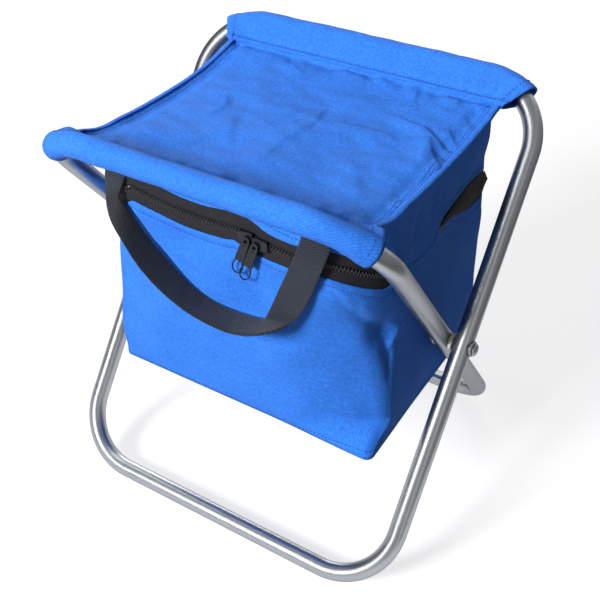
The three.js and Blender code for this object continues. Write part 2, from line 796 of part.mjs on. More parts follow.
// The pointed tail of the tape over one end of the zip, beside the back corner
function zipEndTab(side) {
  const outline = new THREE.Shape();
  outline.moveTo(-endTabLength / 2, 0);
  outline.quadraticCurveTo(0, endTabHeight, endTabLength / 2, 0);
  outline.quadraticCurveTo(0, -endTabHeight, -endTabLength / 2, 0);
  const plate = plateFacingFront(outline, -endTabCloth / 2, endTabCloth).rotateZ(quarterTurn);
  const x = zipOutline.half + coilProud + fit + endTabCloth / 2;
  return plate.translate(side * x, bagBack + endTabPastShell - endTabLength / 2, zipSideZ);
}

// Handle: sewn patches under the front sleeve, and the U that hangs from them

const anchorTop = seamZ - anchorDrop;
const anchorBottom = anchorTop - anchorLength;

// The run value where the wall's front stands at x
function runAtX(x, z) {
  let run = middleShare;
  for (let pass = 0; pass < wallRows; pass += 1) {
    const { half, corner } = outlineAt(run, z);
    const straight = half - corner;
    const alongFront = Math.min(1, Math.abs(x) / straight) / 2;
    const roundCorner = Math.asin(clamp((Math.abs(x) - straight) / corner, 0, 1)) / quarterTurn;
    run = middleShare + Math.sign(x) * (alongFront + roundCorner);
  }
  return run;
}

function handleAnchor(side) {
  const columns = steps(-webbing / 2, webbing / 2, patchSteps);
  const rows = [anchorTop, (anchorTop + anchorBottom) / 2, anchorBottom];
  return sheetSolid(rows, columns, (z, across, layer) => {
    const run = runAtX(side * handleHalf + across, z);
    return wallPoint(z, run, -fit - (1 - layer) * webbingCloth);
  });
}

// The U's middle line: it stands off the wall and the zip by more where it lies flatter
function handleMiddle(share, twist) {
  const turn = share * quarterTurn;
  const z = anchorBottom - fit - handleDepth * Math.cos(turn);
  const up = clamp(skirtShare(z, zipFrontZ), 0, 1);
  const face = lerp(zipOutline.front - coilProud, topOutline.front, up);
  const y = face - handleStand - (webbing / 2) * Math.sin(twist);
  return new THREE.Vector3(handleHalf * Math.sin(turn), y, z);
}

function carryHandle() {
  const ease = (share) => Math.sign(share) * (1 - (1 - Math.abs(share)) ** handleEasePower);
  const rings = steps(-1, 1, handleSteps).map((even) => {
    const share = ease(even);
    const turn = share * quarterTurn;
    const flow = new THREE.Vector3(handleHalf * Math.cos(turn), 0, handleDepth * Math.sin(turn));
    flow.normalize();
    const outwards = new THREE.Vector3(flow.z, 0, -flow.x);
    const twist = handleTwist * (1 - Math.abs(share) ** handleTwistPower);
    const across = outwards.multiplyScalar(Math.cos(twist)).add(new THREE.Vector3(0, -Math.sin(twist), 0));
    const up = new THREE.Vector3().crossVectors(flow, across);
    const corner = (a, b) => handleMiddle(share, twist)
      .addScaledVector(across, (a * webbing) / 2)
      .addScaledVector(up, (b * webbingCloth) / 2);
    return [corner(-1, -1), corner(1, -1), corner(1, 1), corner(-1, 1)];
  });
  return cappedSolid(rings);
}

// Materials

function material(color, roughness, metalness) {
  return new THREE.MeshStandardMaterial({ color, roughness, metalness });
}

const steel = material(0xb9bcc0, 0.28, 0.9);
const zinc = material(0x9a9da1, 0.4, 0.9);
const nylon = material(0xd8d8d2, 0.6, 0);
const blueCloth = material(0x3f83e6, 0.85, 0);
const blackWebbing = material(0x1e1f23, 0.9, 0);
const blackNylon = material(0x17181b, 0.5, 0);
const blackMetal = material(0x2a2b2e, 0.4, 0.6);
const whiteFoam = material(0xe9e9e4, 0.95, 0);
const silverFoil = material(0xc9ccd0, 0.35, 0.7);

function piece(name, geometry, look) {
  const mesh = new THREE.Mesh(geometry, look);
  mesh.name = name;
  return mesh;
}

// A piece drawn on the right, and the same turned over to the left
function bothSides(name, geometry, look) {
  const left = piece(`${name}_left`, geometry, look);
  left.rotation.y = halfTurn;
  return [piece(`${name}_right`, geometry, look), left];
}

function at(position, lean, ...children) {
  const group = new THREE.Group();
  group.position.copy(position);
  group.rotation.x = lean;
  group.add(...children);
  return group;
}

// Assembly

const pivot = new THREE.Vector3(0, 0, pivotHeight);
const backBar = new THREE.Vector3(0, barY, barZ);
const frontBar = new THREE.Vector3(0, -barY, barZ);

const wideLoop = at(
  pivot,
  -legLean,
  piece('outer_loop_tube', tubeLoop(outerSpan, 1, 0), steel),
  piece('outer_loop_ferrule', ferrule(), zinc),
  ...bothSides('pivot_rivet', rivet(), zinc),
  ...bothSides('outer_saddle', saddle(outerCrown, 1), zinc),
  ...bothSides('pivot_spacer', spacer(), nylon),
);

const narrowLoop = at(
  pivot,
  legLean,
  piece('inner_loop_tube', tubeLoop(innerSpan, -1, dentDepth), steel),
  piece('inner_loop_ferrule', ferrule(), zinc),
  ...bothSides('inner_saddle', saddle(innerFace, -1), zinc),
);

const seat = [
  at(backBar, 0, piece('back_sleeve', sleeve(outerSpan, 1), blueCloth)),
  at(frontBar, 0, piece('front_sleeve', sleeve(innerSpan, -1), blueCloth)),
  piece('seat_panel', seatPanel(), blueCloth),
  piece('side_binding_left', sideBinding(-1), blueCloth),
  piece('side_binding_right', sideBinding(1), blueCloth),
  piece('lid_foam', lidLayer(softFit, lidFoam), whiteFoam),
  piece('lid_foil', lidLayer(softFit + lidFoam + fit, liner), silverFoil),
];

const bag = [
  piece('lid_skirt', lidSkirt(), blueCloth),
  piece('bag_side_left', shellWall(0, leftSeam, belowHem), blueCloth),
  piece('bag_front', shellWall(leftSeam, rightSeam, belowHem), blueCloth),
  piece('bag_side_right', shellWall(rightSeam, runShares, belowHem), blueCloth),
  piece('bag_back', shellWall(runShares, lapShares, underSeat), blueCloth),
  piece('bag_floor', levelPlate(floorZ, shell, 0), blueCloth),
  piece('foam_side_left', foamWall(0, leftSeam, belowTape), whiteFoam),
  piece('foam_front', foamWall(leftSeam, rightSeam, belowTape), whiteFoam),
  piece('foam_side_right', foamWall(rightSeam, runShares, belowTape), whiteFoam),
  piece('foam_back', foamWall(runShares, lapShares, underSeat), whiteFoam),
  piece('foam_floor', levelPlate(aboveFloor(), foam, linerInset), whiteFoam),
  piece('bag_liner', bagLiner(), silverFoil),
];

const zip = [
  piece('zip_tape_upper', zipBand(coilReach + softFit, tapeReach, tapeInset, tapeCloth), blackWebbing),
  piece('zip_tape_lower', zipBand(-tapeReach, -coilReach - softFit, tapeInset, tapeCloth), blackWebbing),
  piece('zip_coil_upper', coilRow(coilGroove / 2, coilReach), blackNylon),
  piece('zip_coil_lower', coilRow(-coilReach, -coilGroove / 2), blackNylon),
  piece('zip_slider_left', slider(-1), blackMetal),
  piece('zip_slider_right', slider(1), blackMetal),
  piece('zip_pull_left', pull(-1), blackMetal),
  piece('zip_pull_right', pull(1), blackMetal),
  piece('zip_end_tab_left', zipEndTab(-1), blackWebbing),
  piece('zip_end_tab_right', zipEndTab(1), blackWebbing),
];

const handle = [
  piece('handle_anchor_left', handleAnchor(-1), blackWebbing),
  piece('handle_anchor_right', handleAnchor(1), blackWebbing),
  piece('carry_handle', carryHandle(), blackWebbing),
];

const stool = new THREE.Group();
stool.name = 'folding_cooler_stool';
stool.add(wideLoop, narrowLoop, ...seat, ...bag, ...zip, ...handle);

export default stool;
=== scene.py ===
import math

import bpy
import numpy as np
from mathutils import Matrix, Vector


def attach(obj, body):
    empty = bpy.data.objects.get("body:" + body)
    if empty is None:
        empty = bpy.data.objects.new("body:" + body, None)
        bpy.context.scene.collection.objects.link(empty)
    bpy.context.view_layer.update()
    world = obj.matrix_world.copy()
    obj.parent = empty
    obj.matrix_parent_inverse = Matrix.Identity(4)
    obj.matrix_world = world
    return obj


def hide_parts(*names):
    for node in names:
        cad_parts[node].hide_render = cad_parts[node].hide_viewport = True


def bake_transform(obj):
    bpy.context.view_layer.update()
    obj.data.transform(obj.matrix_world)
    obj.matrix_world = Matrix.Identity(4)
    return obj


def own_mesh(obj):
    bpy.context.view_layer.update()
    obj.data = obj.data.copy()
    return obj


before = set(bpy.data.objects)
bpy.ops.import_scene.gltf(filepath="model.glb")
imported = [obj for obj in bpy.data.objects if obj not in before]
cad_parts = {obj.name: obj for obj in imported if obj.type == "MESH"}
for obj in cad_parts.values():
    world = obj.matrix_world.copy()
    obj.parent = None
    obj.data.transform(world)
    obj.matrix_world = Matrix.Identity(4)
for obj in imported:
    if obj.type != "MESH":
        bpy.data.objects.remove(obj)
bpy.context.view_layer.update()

MM = 0.001
TAU = 2 * math.pi


def axes_matrix(right, up, back, place):
    return Matrix([[right[k], up[k], back[k], place[k]] for k in range(3)] + [[0, 0, 0, 1]])


# Camera at the photograph's viewpoint

VIEW_RIGHT = (0.8488, 0.5286, -0.0098)
VIEW_UP = (-0.3185, 0.5261, 0.7885)
VIEW_BACK = (0.4220, -0.6661, 0.6150)
VIEW_PLACE = (0.36478, -0.56752, 0.69185)
FOCAL_PIXELS, PHOTO_PIXELS = 945.1, 600
lens = bpy.data.cameras.new("camera")
lens.sensor_width = 36
lens.lens = FOCAL_PIXELS * 36 / PHOTO_PIXELS
camera = bpy.data.objects.new("camera", lens)
bpy.context.scene.collection.objects.link(camera)
camera.matrix_world = axes_matrix(VIEW_RIGHT, VIEW_UP, VIEW_BACK, VIEW_PLACE)
bpy.context.scene.camera = camera

# Sizes in millimetres, as in the CAD source

TUBE, WALL, BEND = 8.0, 1.2, 55.0
LEAN = math.radians(37.5)
TOP, FOOT = 218.0, 222.0
OUTER_SPAN, INNER_SPAN = 326.0, 292.0
DENT, DENT_LENGTH = 2.5, 52.0
PIVOT_Z = FOOT * math.cos(LEAN) + TUBE * math.cos(math.pi / 20)
BAR_Y = TOP * math.sin(LEAN)
BAR_Z = PIVOT_Z + TOP * math.cos(LEAN)
CLOTH, SLEEVE_HALF, REACH, DROP, BEAD = 1.2, 132.0, 25.0, 10.0, 1.5
SEAM_Y, SEAM_Z = BAR_Y - REACH, BAR_Z - DROP
SAG, CROWN = 14.0, 5.0
BACK = SEAM_Y - 10
FLOOR_Z = PIVOT_Z - 65
ZIP_FRONT = SEAM_Z - 38
ZIP_SIDE = ZIP_FRONT - 26
SKIRT_TOP = SEAM_Z - SAG
HEM, TAPE = 12.0, 17.0
FLOOR_LINE = (128.0, 11 - SEAM_Y, 7.0)  # half width, front, corner radius
ZIP_LINE = (125.8, -4 - SEAM_Y, 55.0)
LID_LINE = (125.5, 3 - SEAM_Y, 40.0)
BACK_CORNER = 8.0  # tighter than the solid's, as cloth lies at a seam
BULGE = (2.5, 4.0)  # side, front
SHELL, FOAM = 0.8, 4.0
HANDLE_HALF, WEBBING, WEBBING_CLOTH = 89.0, 25.0, 1.8
ANCHOR_TOP = SEAM_Z - 4
ANCHOR_BOTTOM = ANCHOR_TOP - 13
SLIDERS_X, SLIDER_LENGTH, BAIL_FORWARD = 38.0, 12.0, 2.7
ZIP_FACE = ZIP_LINE[1]
BAIL_Y = -116.5


def smooth(value, low, high):
    share = np.clip((value - low) / (high - low), 0, 1)
    return share * share * (3 - 2 * share)


def lerp(a, b, share):
    return a + (b - a) * share


def ripples(a, b, scale, seed, count=9):
    """Smooth unevenness over two lengths in millimetres, from about -1 to 1."""
    random = np.random.default_rng(seed)
    total = 0
    for _ in range(count):
        angle, phase = random.uniform(0, math.pi), random.uniform(0, TAU)
        pitch = scale * random.uniform(0.6, 1.7)
        total = total + np.sin((a * math.cos(angle) + b * math.sin(angle)) * TAU / pitch + phase)
    return total / math.sqrt(count) / 1.4


def hump(value, centre, width):
    """A rounded rise of height 1 round a centre."""
    return np.exp(-((value - centre) / width) ** 2)


def near_line(a, b, line):
    """Each place's distance from a line of points, its side (left above 0), and its share along."""
    gap = np.full(np.broadcast(a, b).shape, 1e9)
    left, place = np.zeros_like(gap), np.zeros_like(gap)
    parts = np.linalg.norm(np.diff(line, axis=0), axis=1)
    total, before = parts.sum(), 0
    for (x0, y0), (x1, y1), part in zip(line, line[1:], parts):
        dx, dy = (x1 - x0) / part, (y1 - y0) / part
        along = np.clip((a - x0) * dx + (b - y0) * dy, 0, part)
        offx, offy = a - x0 - along * dx, b - y0 - along * dy
        here = np.hypot(offx, offy)
        near = here < gap
        gap = np.where(near, here, gap)
        left = np.where(near, dx * offy - dy * offx, left)
        place = np.where(near, (before + along) / total, place)
        before += part
    return gap, left, place


def crease(a, b, line, depth, width, ridge=0.5):
    """A valley along a line of points, with a lower ridge on its left."""
    gap, left, place = near_line(a, b, np.asarray(line, float))
    side = np.sign(left) * gap
    fade = np.minimum(1, 4 * np.minimum(place + 0.04, 1.04 - place))
    shape = -hump(gap, 0, width) + ridge * hump(side, 1.7 * width, width)
    return depth * (shape * fade)


def fold(a, b, line, height, sharp, broad):
    """A lapped fold along a line: it rises slowly and drops steeply on the side away from the key lamp."""
    line = np.asarray(line, float)
    ahead = line[-1] - line[0]
    if ahead[1] * 0.5 - ahead[0] * 0.8 < 0:
        line = line[::-1]
    gap, left, place = near_line(a, b, line)
    shape = np.where(left > 0, hump(gap, 0, broad), hump(gap, 0, sharp))
    return height * (shape * np.sin(np.clip(place, 0, 1) * math.pi) ** 0.7)


def dent(a, b, place, size, depth):
    return -depth * np.exp(-(((a - place[0]) / size[0]) ** 2 + ((b - place[1]) / size[1]) ** 2))


# Node helpers

def add(tree, kind, *values, **settings):
    node = tree.nodes.new("ShaderNode" + kind)
    for key, value in settings.items():
        setattr(node, key, value)
    for index, value in enumerate(values):
        if isinstance(value, bpy.types.NodeSocket):
            tree.links.new(value, node.inputs[index])
        elif value is not None:
            node.inputs[index].default_value = value
    return node


def calc(tree, operation, *values):
    return add(tree, "Math", *values, operation=operation).outputs[0]


def grey(tree, value):
    return add(tree, "CombineColor", value, value, value).outputs[0]


def mixed(tree, factor, first, second, mode="MIX"):
    node = add(tree, "Mix", factor, data_type="RGBA", blend_type=mode)
    for index, value in ((6, first), (7, second)):
        if isinstance(value, bpy.types.NodeSocket):
            tree.links.new(value, node.inputs[index])
        else:
            node.inputs[index].default_value = value
    return node.outputs[2]


def linear(red, green, blue):
    """An sRGB colour of 0 to 255 as a linear one."""
    shares = [value / 255 for value in (red, green, blue)]
    return (*[s / 12.92 if s <= 0.04045 else ((s + 0.055) / 1.055) ** 2.4 for s in shares], 1)


def scaled(colour, share):
    return (*[min(1, value * share) for value in colour[:3]], 1)


def new_look(name, **constants):
    look = bpy.data.materials.new(name)
    look.use_nodes = True
    tree = look.node_tree
    tree.nodes.clear()
    out = tree.nodes.new("ShaderNodeOutputMaterial")
    shader = tree.nodes.new("ShaderNodeBsdfPrincipled")
    tree.links.new(shader.outputs[0], out.inputs[0])
    for key, value in constants.items():
        shader.inputs[key.replace("_", " ")].default_value = value
    return look, tree, shader


def noise(tree, place, scale, detail=2.0, rough=0.5):
    node = add(tree, "TexNoise")
    tree.links.new(place, node.inputs["Vector"])
    node.inputs["Scale"].default_value = scale
    node.inputs["Detail"].default_value = detail
    node.inputs["Roughness"].default_value = rough
    return node.outputs[0]


def remap(tree, value, low, high, to_low, to_high):
    return add(tree, "MapRange", value, low, high, to_low, to_high).outputs[0]


def finish_look(tree, shader, colour=None, rough=None, bump=None, distance=0.0002, strength=1.0):
    if colour is not None:
        tree.links.new(colour, shader.inputs["Base Color"])
    if rough is not None:
        tree.links.new(rough, shader.inputs["Roughness"])
    if bump is not None:
        node = add(tree, "Bump")
        node.inputs["Strength"].default_value = strength
        node.inputs["Distance"].default_value = distance
        tree.links.new(bump, node.inputs["Height"])
        tree.links.new(node.outputs[0], shader.inputs["Normal"])


def cloth_look(name, colour, thread, contrast=0.25, relief=0.00014, grain_depth=0.2, twill_depth=0.11,
               sheen=0.02):
    """Woven cloth on UVs in metres: single threads, the twill's slanting lines, and mottled grain."""
    look, tree, shader = new_look(name, Sheen_Weight=sheen, Sheen_Roughness=0.5, Specular_IOR_Level=0.12)
    uv = add(tree, "TexCoord").outputs["UV"]
    wobble = noise(tree, uv, 180, 1)
    bent = add(tree, "VectorMath", uv, operation="SCALE")
    bent.inputs["Scale"].default_value = 1 / thread
    u, v, _ = add(tree, "SeparateXYZ", bent.outputs[0]).outputs
    u = calc(tree, "ADD", u, calc(tree, "MULTIPLY", wobble, 0.8))
    v = calc(tree, "ADD", v, calc(tree, "MULTIPLY", wobble, 0.8))
    step = calc(tree, "ADD", calc(tree, "FLOOR", u), calc(tree, "FLOOR", v))
    over = calc(tree, "LESS_THAN", calc(tree, "FLOORED_MODULO", step, 3.0), 1.5)
    waves = [calc(tree, "SINE", calc(tree, "MULTIPLY", calc(tree, "FRACT", w), math.pi)) for w in (u, v)]
    flat = [calc(tree, "POWER", wave, 0.4) for wave in waves]
    warp = calc(tree, "MULTIPLY", waves[0], flat[1])
    weft = calc(tree, "MULTIPLY", waves[1], calc(tree, "MULTIPLY", flat[0], 0.8))
    height = calc(tree, "ADD", calc(tree, "MULTIPLY", warp, over),
                  calc(tree, "MULTIPLY", weft, calc(tree, "SUBTRACT", 1.0, over)))
    slant = calc(tree, "SINE", calc(tree, "MULTIPLY", calc(tree, "ADD", u, v), TAU / 4.5))
    mottle = noise(tree, uv, 45, 4, 0.6)
    grain = noise(tree, uv, 340, 3, 0.8)
    threads = mixed(tree, height, scaled(colour, 1 - contrast), scaled(colour, 1 + contrast * 0.35))
    tone = remap(tree, mottle, 0.3, 0.7, 0.92, 1.08)
    tone = calc(tree, "MULTIPLY", tone, remap(tree, grain, 0.34, 0.66, 1 - grain_depth, 1 + grain_depth))
    tone = calc(tree, "MULTIPLY", tone, remap(tree, slant, -1.0, 1.0, 1 - twill_depth, 1 + twill_depth))
    shade = grey(tree, tone)
    colour = mixed(tree, 1.0, threads, shade, "MULTIPLY")
    rough = remap(tree, mottle, 0.3, 0.7, 0.65, 0.8)
    bump = calc(tree, "ADD", height, calc(tree, "MULTIPLY", grain, 0.9))
    finish_look(tree, shader, colour, rough, bump, relief)
    return look


def webbing_look(name, colour, rib=0.0026, painted_shade=False):
    """Cords across a strap that runs along U, slanted by the weave, with fine threads and worn places, and if
    asked, painted shade over the strap's left part.
    """
    look, tree, shader = new_look(name, Sheen_Weight=0.15, Sheen_Roughness=0.5, Specular_IOR_Level=0.3)
    uv = add(tree, "TexCoord").outputs["UV"]
    u, v, _ = add(tree, "SeparateXYZ", uv).outputs
    lean = calc(tree, "MULTIPLY", calc(tree, "PINGPONG", v, 0.0024), 0.7)
    slanted = calc(tree, "MULTIPLY", calc(tree, "ADD", u, lean), math.pi / rib)
    ribs = calc(tree, "ABSOLUTE", calc(tree, "SINE", slanted))
    cords = calc(tree, "ABSOLUTE", calc(tree, "SINE", calc(tree, "MULTIPLY", v, math.pi / 0.0012)))
    fuzz = noise(tree, uv, 900, 3, 0.75)
    height = calc(tree, "MULTIPLY", calc(tree, "POWER", ribs, 0.8), calc(tree, "POWER", cords, 0.4))
    tone = mixed(tree, height, scaled(colour, 0.3), scaled(colour, 1.5))
    shade = remap(tree, fuzz, 0.35, 0.65, 0.75, 1.25)
    tone = mixed(tree, 1.0, tone, grey(tree, shade), "MULTIPLY")
    wear = noise(tree, uv, 45, 3, 0.6)
    colour = mixed(tree, remap(tree, wear, 0.45, 0.8, 0.0, 0.2), tone, scaled(colour, 2.2))
    if painted_shade:  # painted shade: the handle's left part is made nearly black along U
        share = calc(tree, "ADD", remap(tree, u, 0.018, 0.03, 1.0, 0.34),
                     remap(tree, u, 0.045, 0.13, 0.0, 0.66))
        colour = mixed(tree, 1.0, colour, grey(tree, share), "MULTIPLY")
    rough = remap(tree, fuzz, 0.3, 0.7, 0.7, 0.9)
    relief = calc(tree, "ADD", height, calc(tree, "MULTIPLY", fuzz, 0.4))
    finish_look(tree, shader, colour, rough, relief, 0.0003)
    return look


def metal_look(name, colour, rough_low, rough_high, metallic=1.0, grain=1.0, spots=0.1):
    """Drawn tube or plated part: fine lines along U, faint clouds and a few specks."""
    look, tree, shader = new_look(name, Metallic=metallic, Specular_Tint=(0.5, 0.51, 0.52, 1))
    uv = add(tree, "TexCoord").outputs["UV"]
    drawn = add(tree, "VectorMath", uv, (60.0, 2600.0, 1.0), operation="MULTIPLY").outputs[0]
    lines = noise(tree, drawn, 1.0, 3, 0.6)
    clouds = noise(tree, add(tree, "TexCoord").outputs["Object"], 30, 4, 0.6)
    specks = noise(tree, add(tree, "TexCoord").outputs["Object"], 900, 2, 0.5)
    tone = mixed(tree, clouds, scaled(colour, 0.88), scaled(colour, 1.08))
    worn = remap(tree, specks, 0.66, 0.74, 0.0, spots)
    tone = mixed(tree, worn, tone, scaled(colour, 0.45))
    rough = remap(tree, calc(tree, "ADD", lines, clouds), 0.7, 1.3, rough_low, rough_high)
    finish_look(tree, shader, tone, rough, lines, 0.00003 * grain, 0.35)
    return look


def plain_look(name, colour, rough, scale, relief, metallic=0.0, detail=4, tone=0.1, **constants):
    """Moulded, foamed or crinkled surfaces: noise in colour, roughness and relief."""
    look, tree, shader = new_look(name, Metallic=metallic, **constants)
    place = add(tree, "TexCoord").outputs["Object"]
    fine = noise(tree, place, scale, detail, 0.6)
    wide = noise(tree, place, scale / 12, 2)
    colour = mixed(tree, calc(tree, "MULTIPLY", calc(tree, "ADD", fine, wide), 0.5),
                   scaled(colour, 1 - tone), scaled(colour, 1 + tone))
    finish_look(tree, shader, colour, remap(tree, fine, 0.3, 0.7, rough * 0.85, min(1, rough * 1.15)),
                fine, relief)
    return look


BLUE = linear(53, 122, 226)
BLACK = linear(33, 37, 47)
looks = {
    "blue_cloth": cloth_look("blue_cloth", BLUE, 0.0006),
    "blue_thread": plain_look("blue_thread", linear(30, 72, 160), 0.7, 3000, 0.00005),
    "black_webbing": webbing_look("black_webbing", BLACK),
    # the handle's webbing, with painted shade over its left part
    "black_strap_painted_shade": webbing_look("black_strap_painted_shade", BLACK, painted_shade=True),
    "zip_tape": cloth_look("zip_tape", linear(42, 42, 46), 0.0006, 0.4, 0.00016, 0.3, 0.2),
    "coil_nylon": plain_look("coil_nylon", linear(52, 51, 53), 0.35, 900, 0.00003),
    "zip_metal": metal_look("zip_metal", linear(44, 46, 52), 0.3, 0.45, 0.6, 0.5, 0.6),
    # the zip's end tails: black tape, its colour lowered further to near black as painted shade
    "dark_tape_painted_shade": cloth_look("dark_tape_painted_shade", linear(4, 4, 6), 0.0006, 0.4, 0.00016, 0.2, 0.1, 0.0),
    "tube_steel": metal_look("tube_steel", linear(178, 182, 186), 0.3, 0.4),
    "zinc_steel": metal_look("zinc_steel", linear(160, 163, 166), 0.3, 0.45),
    "washer_nylon": plain_look("washer_nylon", linear(216, 216, 208), 0.5, 600, 0.00002),
    "white_foam": plain_look("white_foam", linear(233, 233, 226), 0.9, 1500, 0.0003),
    "silver_liner": plain_look("silver_liner", linear(200, 203, 208), 0.3, 160, 0.0012, 0.8, 6),
}

# Mesh helpers

def run_lengths(points):
    """UVs in metres from the mean lengths of a grid's rows and columns."""
    def lengths(axis):
        part = np.linalg.norm(np.diff(points, axis=axis), axis=2).mean(1 - axis)
        return np.concatenate([[0], np.cumsum(part)]) * MM
    u, v = lengths(0), lengths(1)
    return np.stack(np.meshgrid(u, v, indexing="ij"), 2)


def link_mesh(name, points, faces, look, corner_uv=None):
    mesh = bpy.data.meshes.new(name)
    mesh.from_pydata((np.asarray(points, float) * MM).tolist(), [], faces.tolist())
    if corner_uv is not None:
        mesh.uv_layers.new(name="UVMap").data.foreach_set("uv", np.asarray(corner_uv, np.float32).ravel())
    mesh.shade_smooth()
    mesh.materials.append(looks[look])
    thing = bpy.data.objects.new(name, mesh)
    bpy.context.scene.collection.objects.link(thing)
    return thing


def grid(name, points, look, close_u=False, close_v=False, flip=False):
    """A mesh from an array of points of shape (u, v, 3), in millimetres."""
    nu, nv = points.shape[:2]
    ui, vi = np.arange(nu + close_u), np.arange(nv + close_v)
    uv = run_lengths(points[ui % nu][:, vi % nv])
    corners = [(0, 0), (1, 0), (1, 1), (0, 1)]
    if flip:
        corners.reverse()
    faces, corner_uv = [], []
    for du, dv in corners:
        a, b = ui[:-1] + du, vi[:-1] + dv
        faces.append(((a % nu)[:, None] * nv + (b % nv)[None]).ravel())
        corner_uv.append(uv[a][:, b].reshape(-1, 2))
    return link_mesh(name, points.reshape(-1, 3), np.stack(faces, 1), look, np.stack(corner_uv, 1))


def thicken(thing, thickness, offset=-1.0, even=True):
    solid = thing.modifiers.new("thickness", "SOLIDIFY")
    solid.thickness = thickness * MM
    solid.offset = offset
    solid.use_even_offset = even
    return thing


SEAT_BODIES = ("inner_frame", "outer_frame")


def dress(thing, body, slot, *nodes):
    """Rides the piece on its body, or bakes its place when it has two, and hides the CAD nodes that it
    replaces; the slot is not used.
    """
    if nodes:
        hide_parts(*nodes)
    if isinstance(body, str):
        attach(thing, body)
        if body not in SEAT_BODIES:
            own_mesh(thing)
    else:
        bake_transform(thing)
    return thing


def distances(path):
    """From a path's start to each of its points."""
    return np.concatenate([[0], np.cumsum(np.linalg.norm(np.diff(path, axis=0), axis=1))])


def resample(path, count=None, spacing=None):
    path = np.asarray(path, float)
    along = distances(path)
    if count is None:
        count = max(2, int(round(along[-1] / spacing)) + 1)
    places = np.linspace(0, along[-1], count)
    return np.stack([np.interp(places, along, path[:, k]) for k in range(path.shape[1])], 1)


def unit(vectors):
    return vectors / np.maximum(np.linalg.norm(vectors, axis=-1, keepdims=True), 1e-9)


def stitches(name, seams, look="blue_thread", length=2.4, gap=1.2, radius=0.32, lift=0.15):
    """Sewn stitches along seams, each a path of points and the directions that face out of the cloth."""
    centres, alongs, outs = [], [], []
    for path, out in seams:
        path = np.asarray(path, float)
        out = np.broadcast_to(np.asarray(out, float), path.shape)
        fine = resample(np.hstack([path, out]), spacing=length + gap)
        middle = (fine[1:] + fine[:-1]) / 2
        centres.append(middle[:, :3])
        outs.append(middle[:, 3:])
        alongs.append(fine[1:, :3] - fine[:-1, :3])
    centre, along, out = np.vstack(centres), unit(np.vstack(alongs)), unit(np.vstack(outs))
    out = unit(out - along * (out * along).sum(1, keepdims=True))
    side = np.cross(along, out)
    reach = np.array([-1, -0.93, -0.6, 0, 0.6, 0.93, 1.0])
    width = radius * np.array([0.25, 0.8, 1, 1.05, 1, 0.8, 0.25])
    rise = lift - (radius + lift) * 0.9 * np.abs(reach) ** 4
    turn = np.arange(6) * TAU / 6
    ring = (centre[:, None, None] + along[:, None, None] * (reach * length / 2)[None, :, None, None]
            + out[:, None, None] * (rise[:, None] + width[:, None] * np.cos(turn))[None, :, :, None]
            + side[:, None, None] * (width[:, None] * 1.25 * np.sin(turn))[None, :, :, None])
    count = len(centre)
    a, b = np.arange(6)[:, None], np.arange(6)[None]
    b_next = (b + 1) % 6
    cell = np.stack([a * 6 + b, (a + 1) * 6 + b, (a + 1) * 6 + b_next, a * 6 + b_next], 2).reshape(-1, 4)
    faces = (np.arange(count)[:, None, None] * 42 + cell[None]).reshape(-1, 4)
    return link_mesh(name, ring.reshape(-1, 3), faces, look)


def round_rings(path, side, out, radius, sides):
    """A circle of points round each point of a path."""
    turn = np.arange(sides) * TAU / sides
    reach = side[:, None] * np.cos(turn)[None, :, None] + out[:, None] * np.sin(turn)[None, :, None]
    return path[:, None] + radius * reach


def lathe(name, profile, look, place, sides=40):
    """A profile of (radius, along X) turned round X; place maps an array of points to the frame."""
    profile = np.asarray(profile, float)
    turn = np.arange(sides) * TAU / sides
    points = np.stack([
        np.repeat(profile[:, 1:2], sides, 1),
        profile[:, :1] * np.cos(turn),
        profile[:, :1] * np.sin(turn),
    ], 2)
    return grid(name, place(points), look, close_v=True)


def arc(centre, radius, start, end, count):
    """Profile points on an arc, in (radius, along) space, angles in degrees from the radius axis."""
    turn = np.radians(np.linspace(start, end, count))
    return [(centre[0] + radius[0] * math.cos(t), centre[1] + radius[1] * math.sin(t)) for t in turn]


def leaned(lean):
    """From a loop's own plane to the frame."""
    c, s = math.cos(lean), math.sin(lean)
    def place(points):
        x, y, z = points[..., 0], points[..., 1], points[..., 2]
        return np.stack([x, y * c - z * s, PIVOT_Z + y * s + z * c], -1)
    return place


WIDE, NARROW = leaned(-LEAN), leaned(LEAN)

# Tube loops

def loop_stations(span, pressed):
    side, inner = span / 2, span / 2 - BEND
    top, bottom = TOP - BEND, BEND - FOOT
    stations = [((0.3, TOP), (0, 1), 0)]

    def bend(cx, cz, start):
        for turn in np.linspace(0, math.pi / 2, 22):
            normal = (math.cos(start - turn), math.sin(start - turn))
            stations.append(((cx + BEND * normal[0], cz + BEND * normal[1]), normal, 0))

    def leg(x, ends):
        for z in np.linspace(*ends, 26 if pressed else 5):
            share = 1 - min(1, abs(z) / (DENT_LENGTH / 2))
            stations.append(((x, z), (math.copysign(1, x), 0), DENT * float(smooth(share, 0, 0.7)) * pressed))

    bend(inner, top, math.pi / 2)
    leg(side, (DENT_LENGTH / 2, -DENT_LENGTH / 2))
    bend(inner, bottom, 0)
    stations.append(((0, -FOOT), (0, -1), 0))
    bend(-inner, bottom, -math.pi / 2)
    leg(-side, (-DENT_LENGTH / 2, DENT_LENGTH / 2))
    bend(-inner, top, math.pi)
    stations.append(((-0.3, TOP), (0, 1), 0))
    return stations


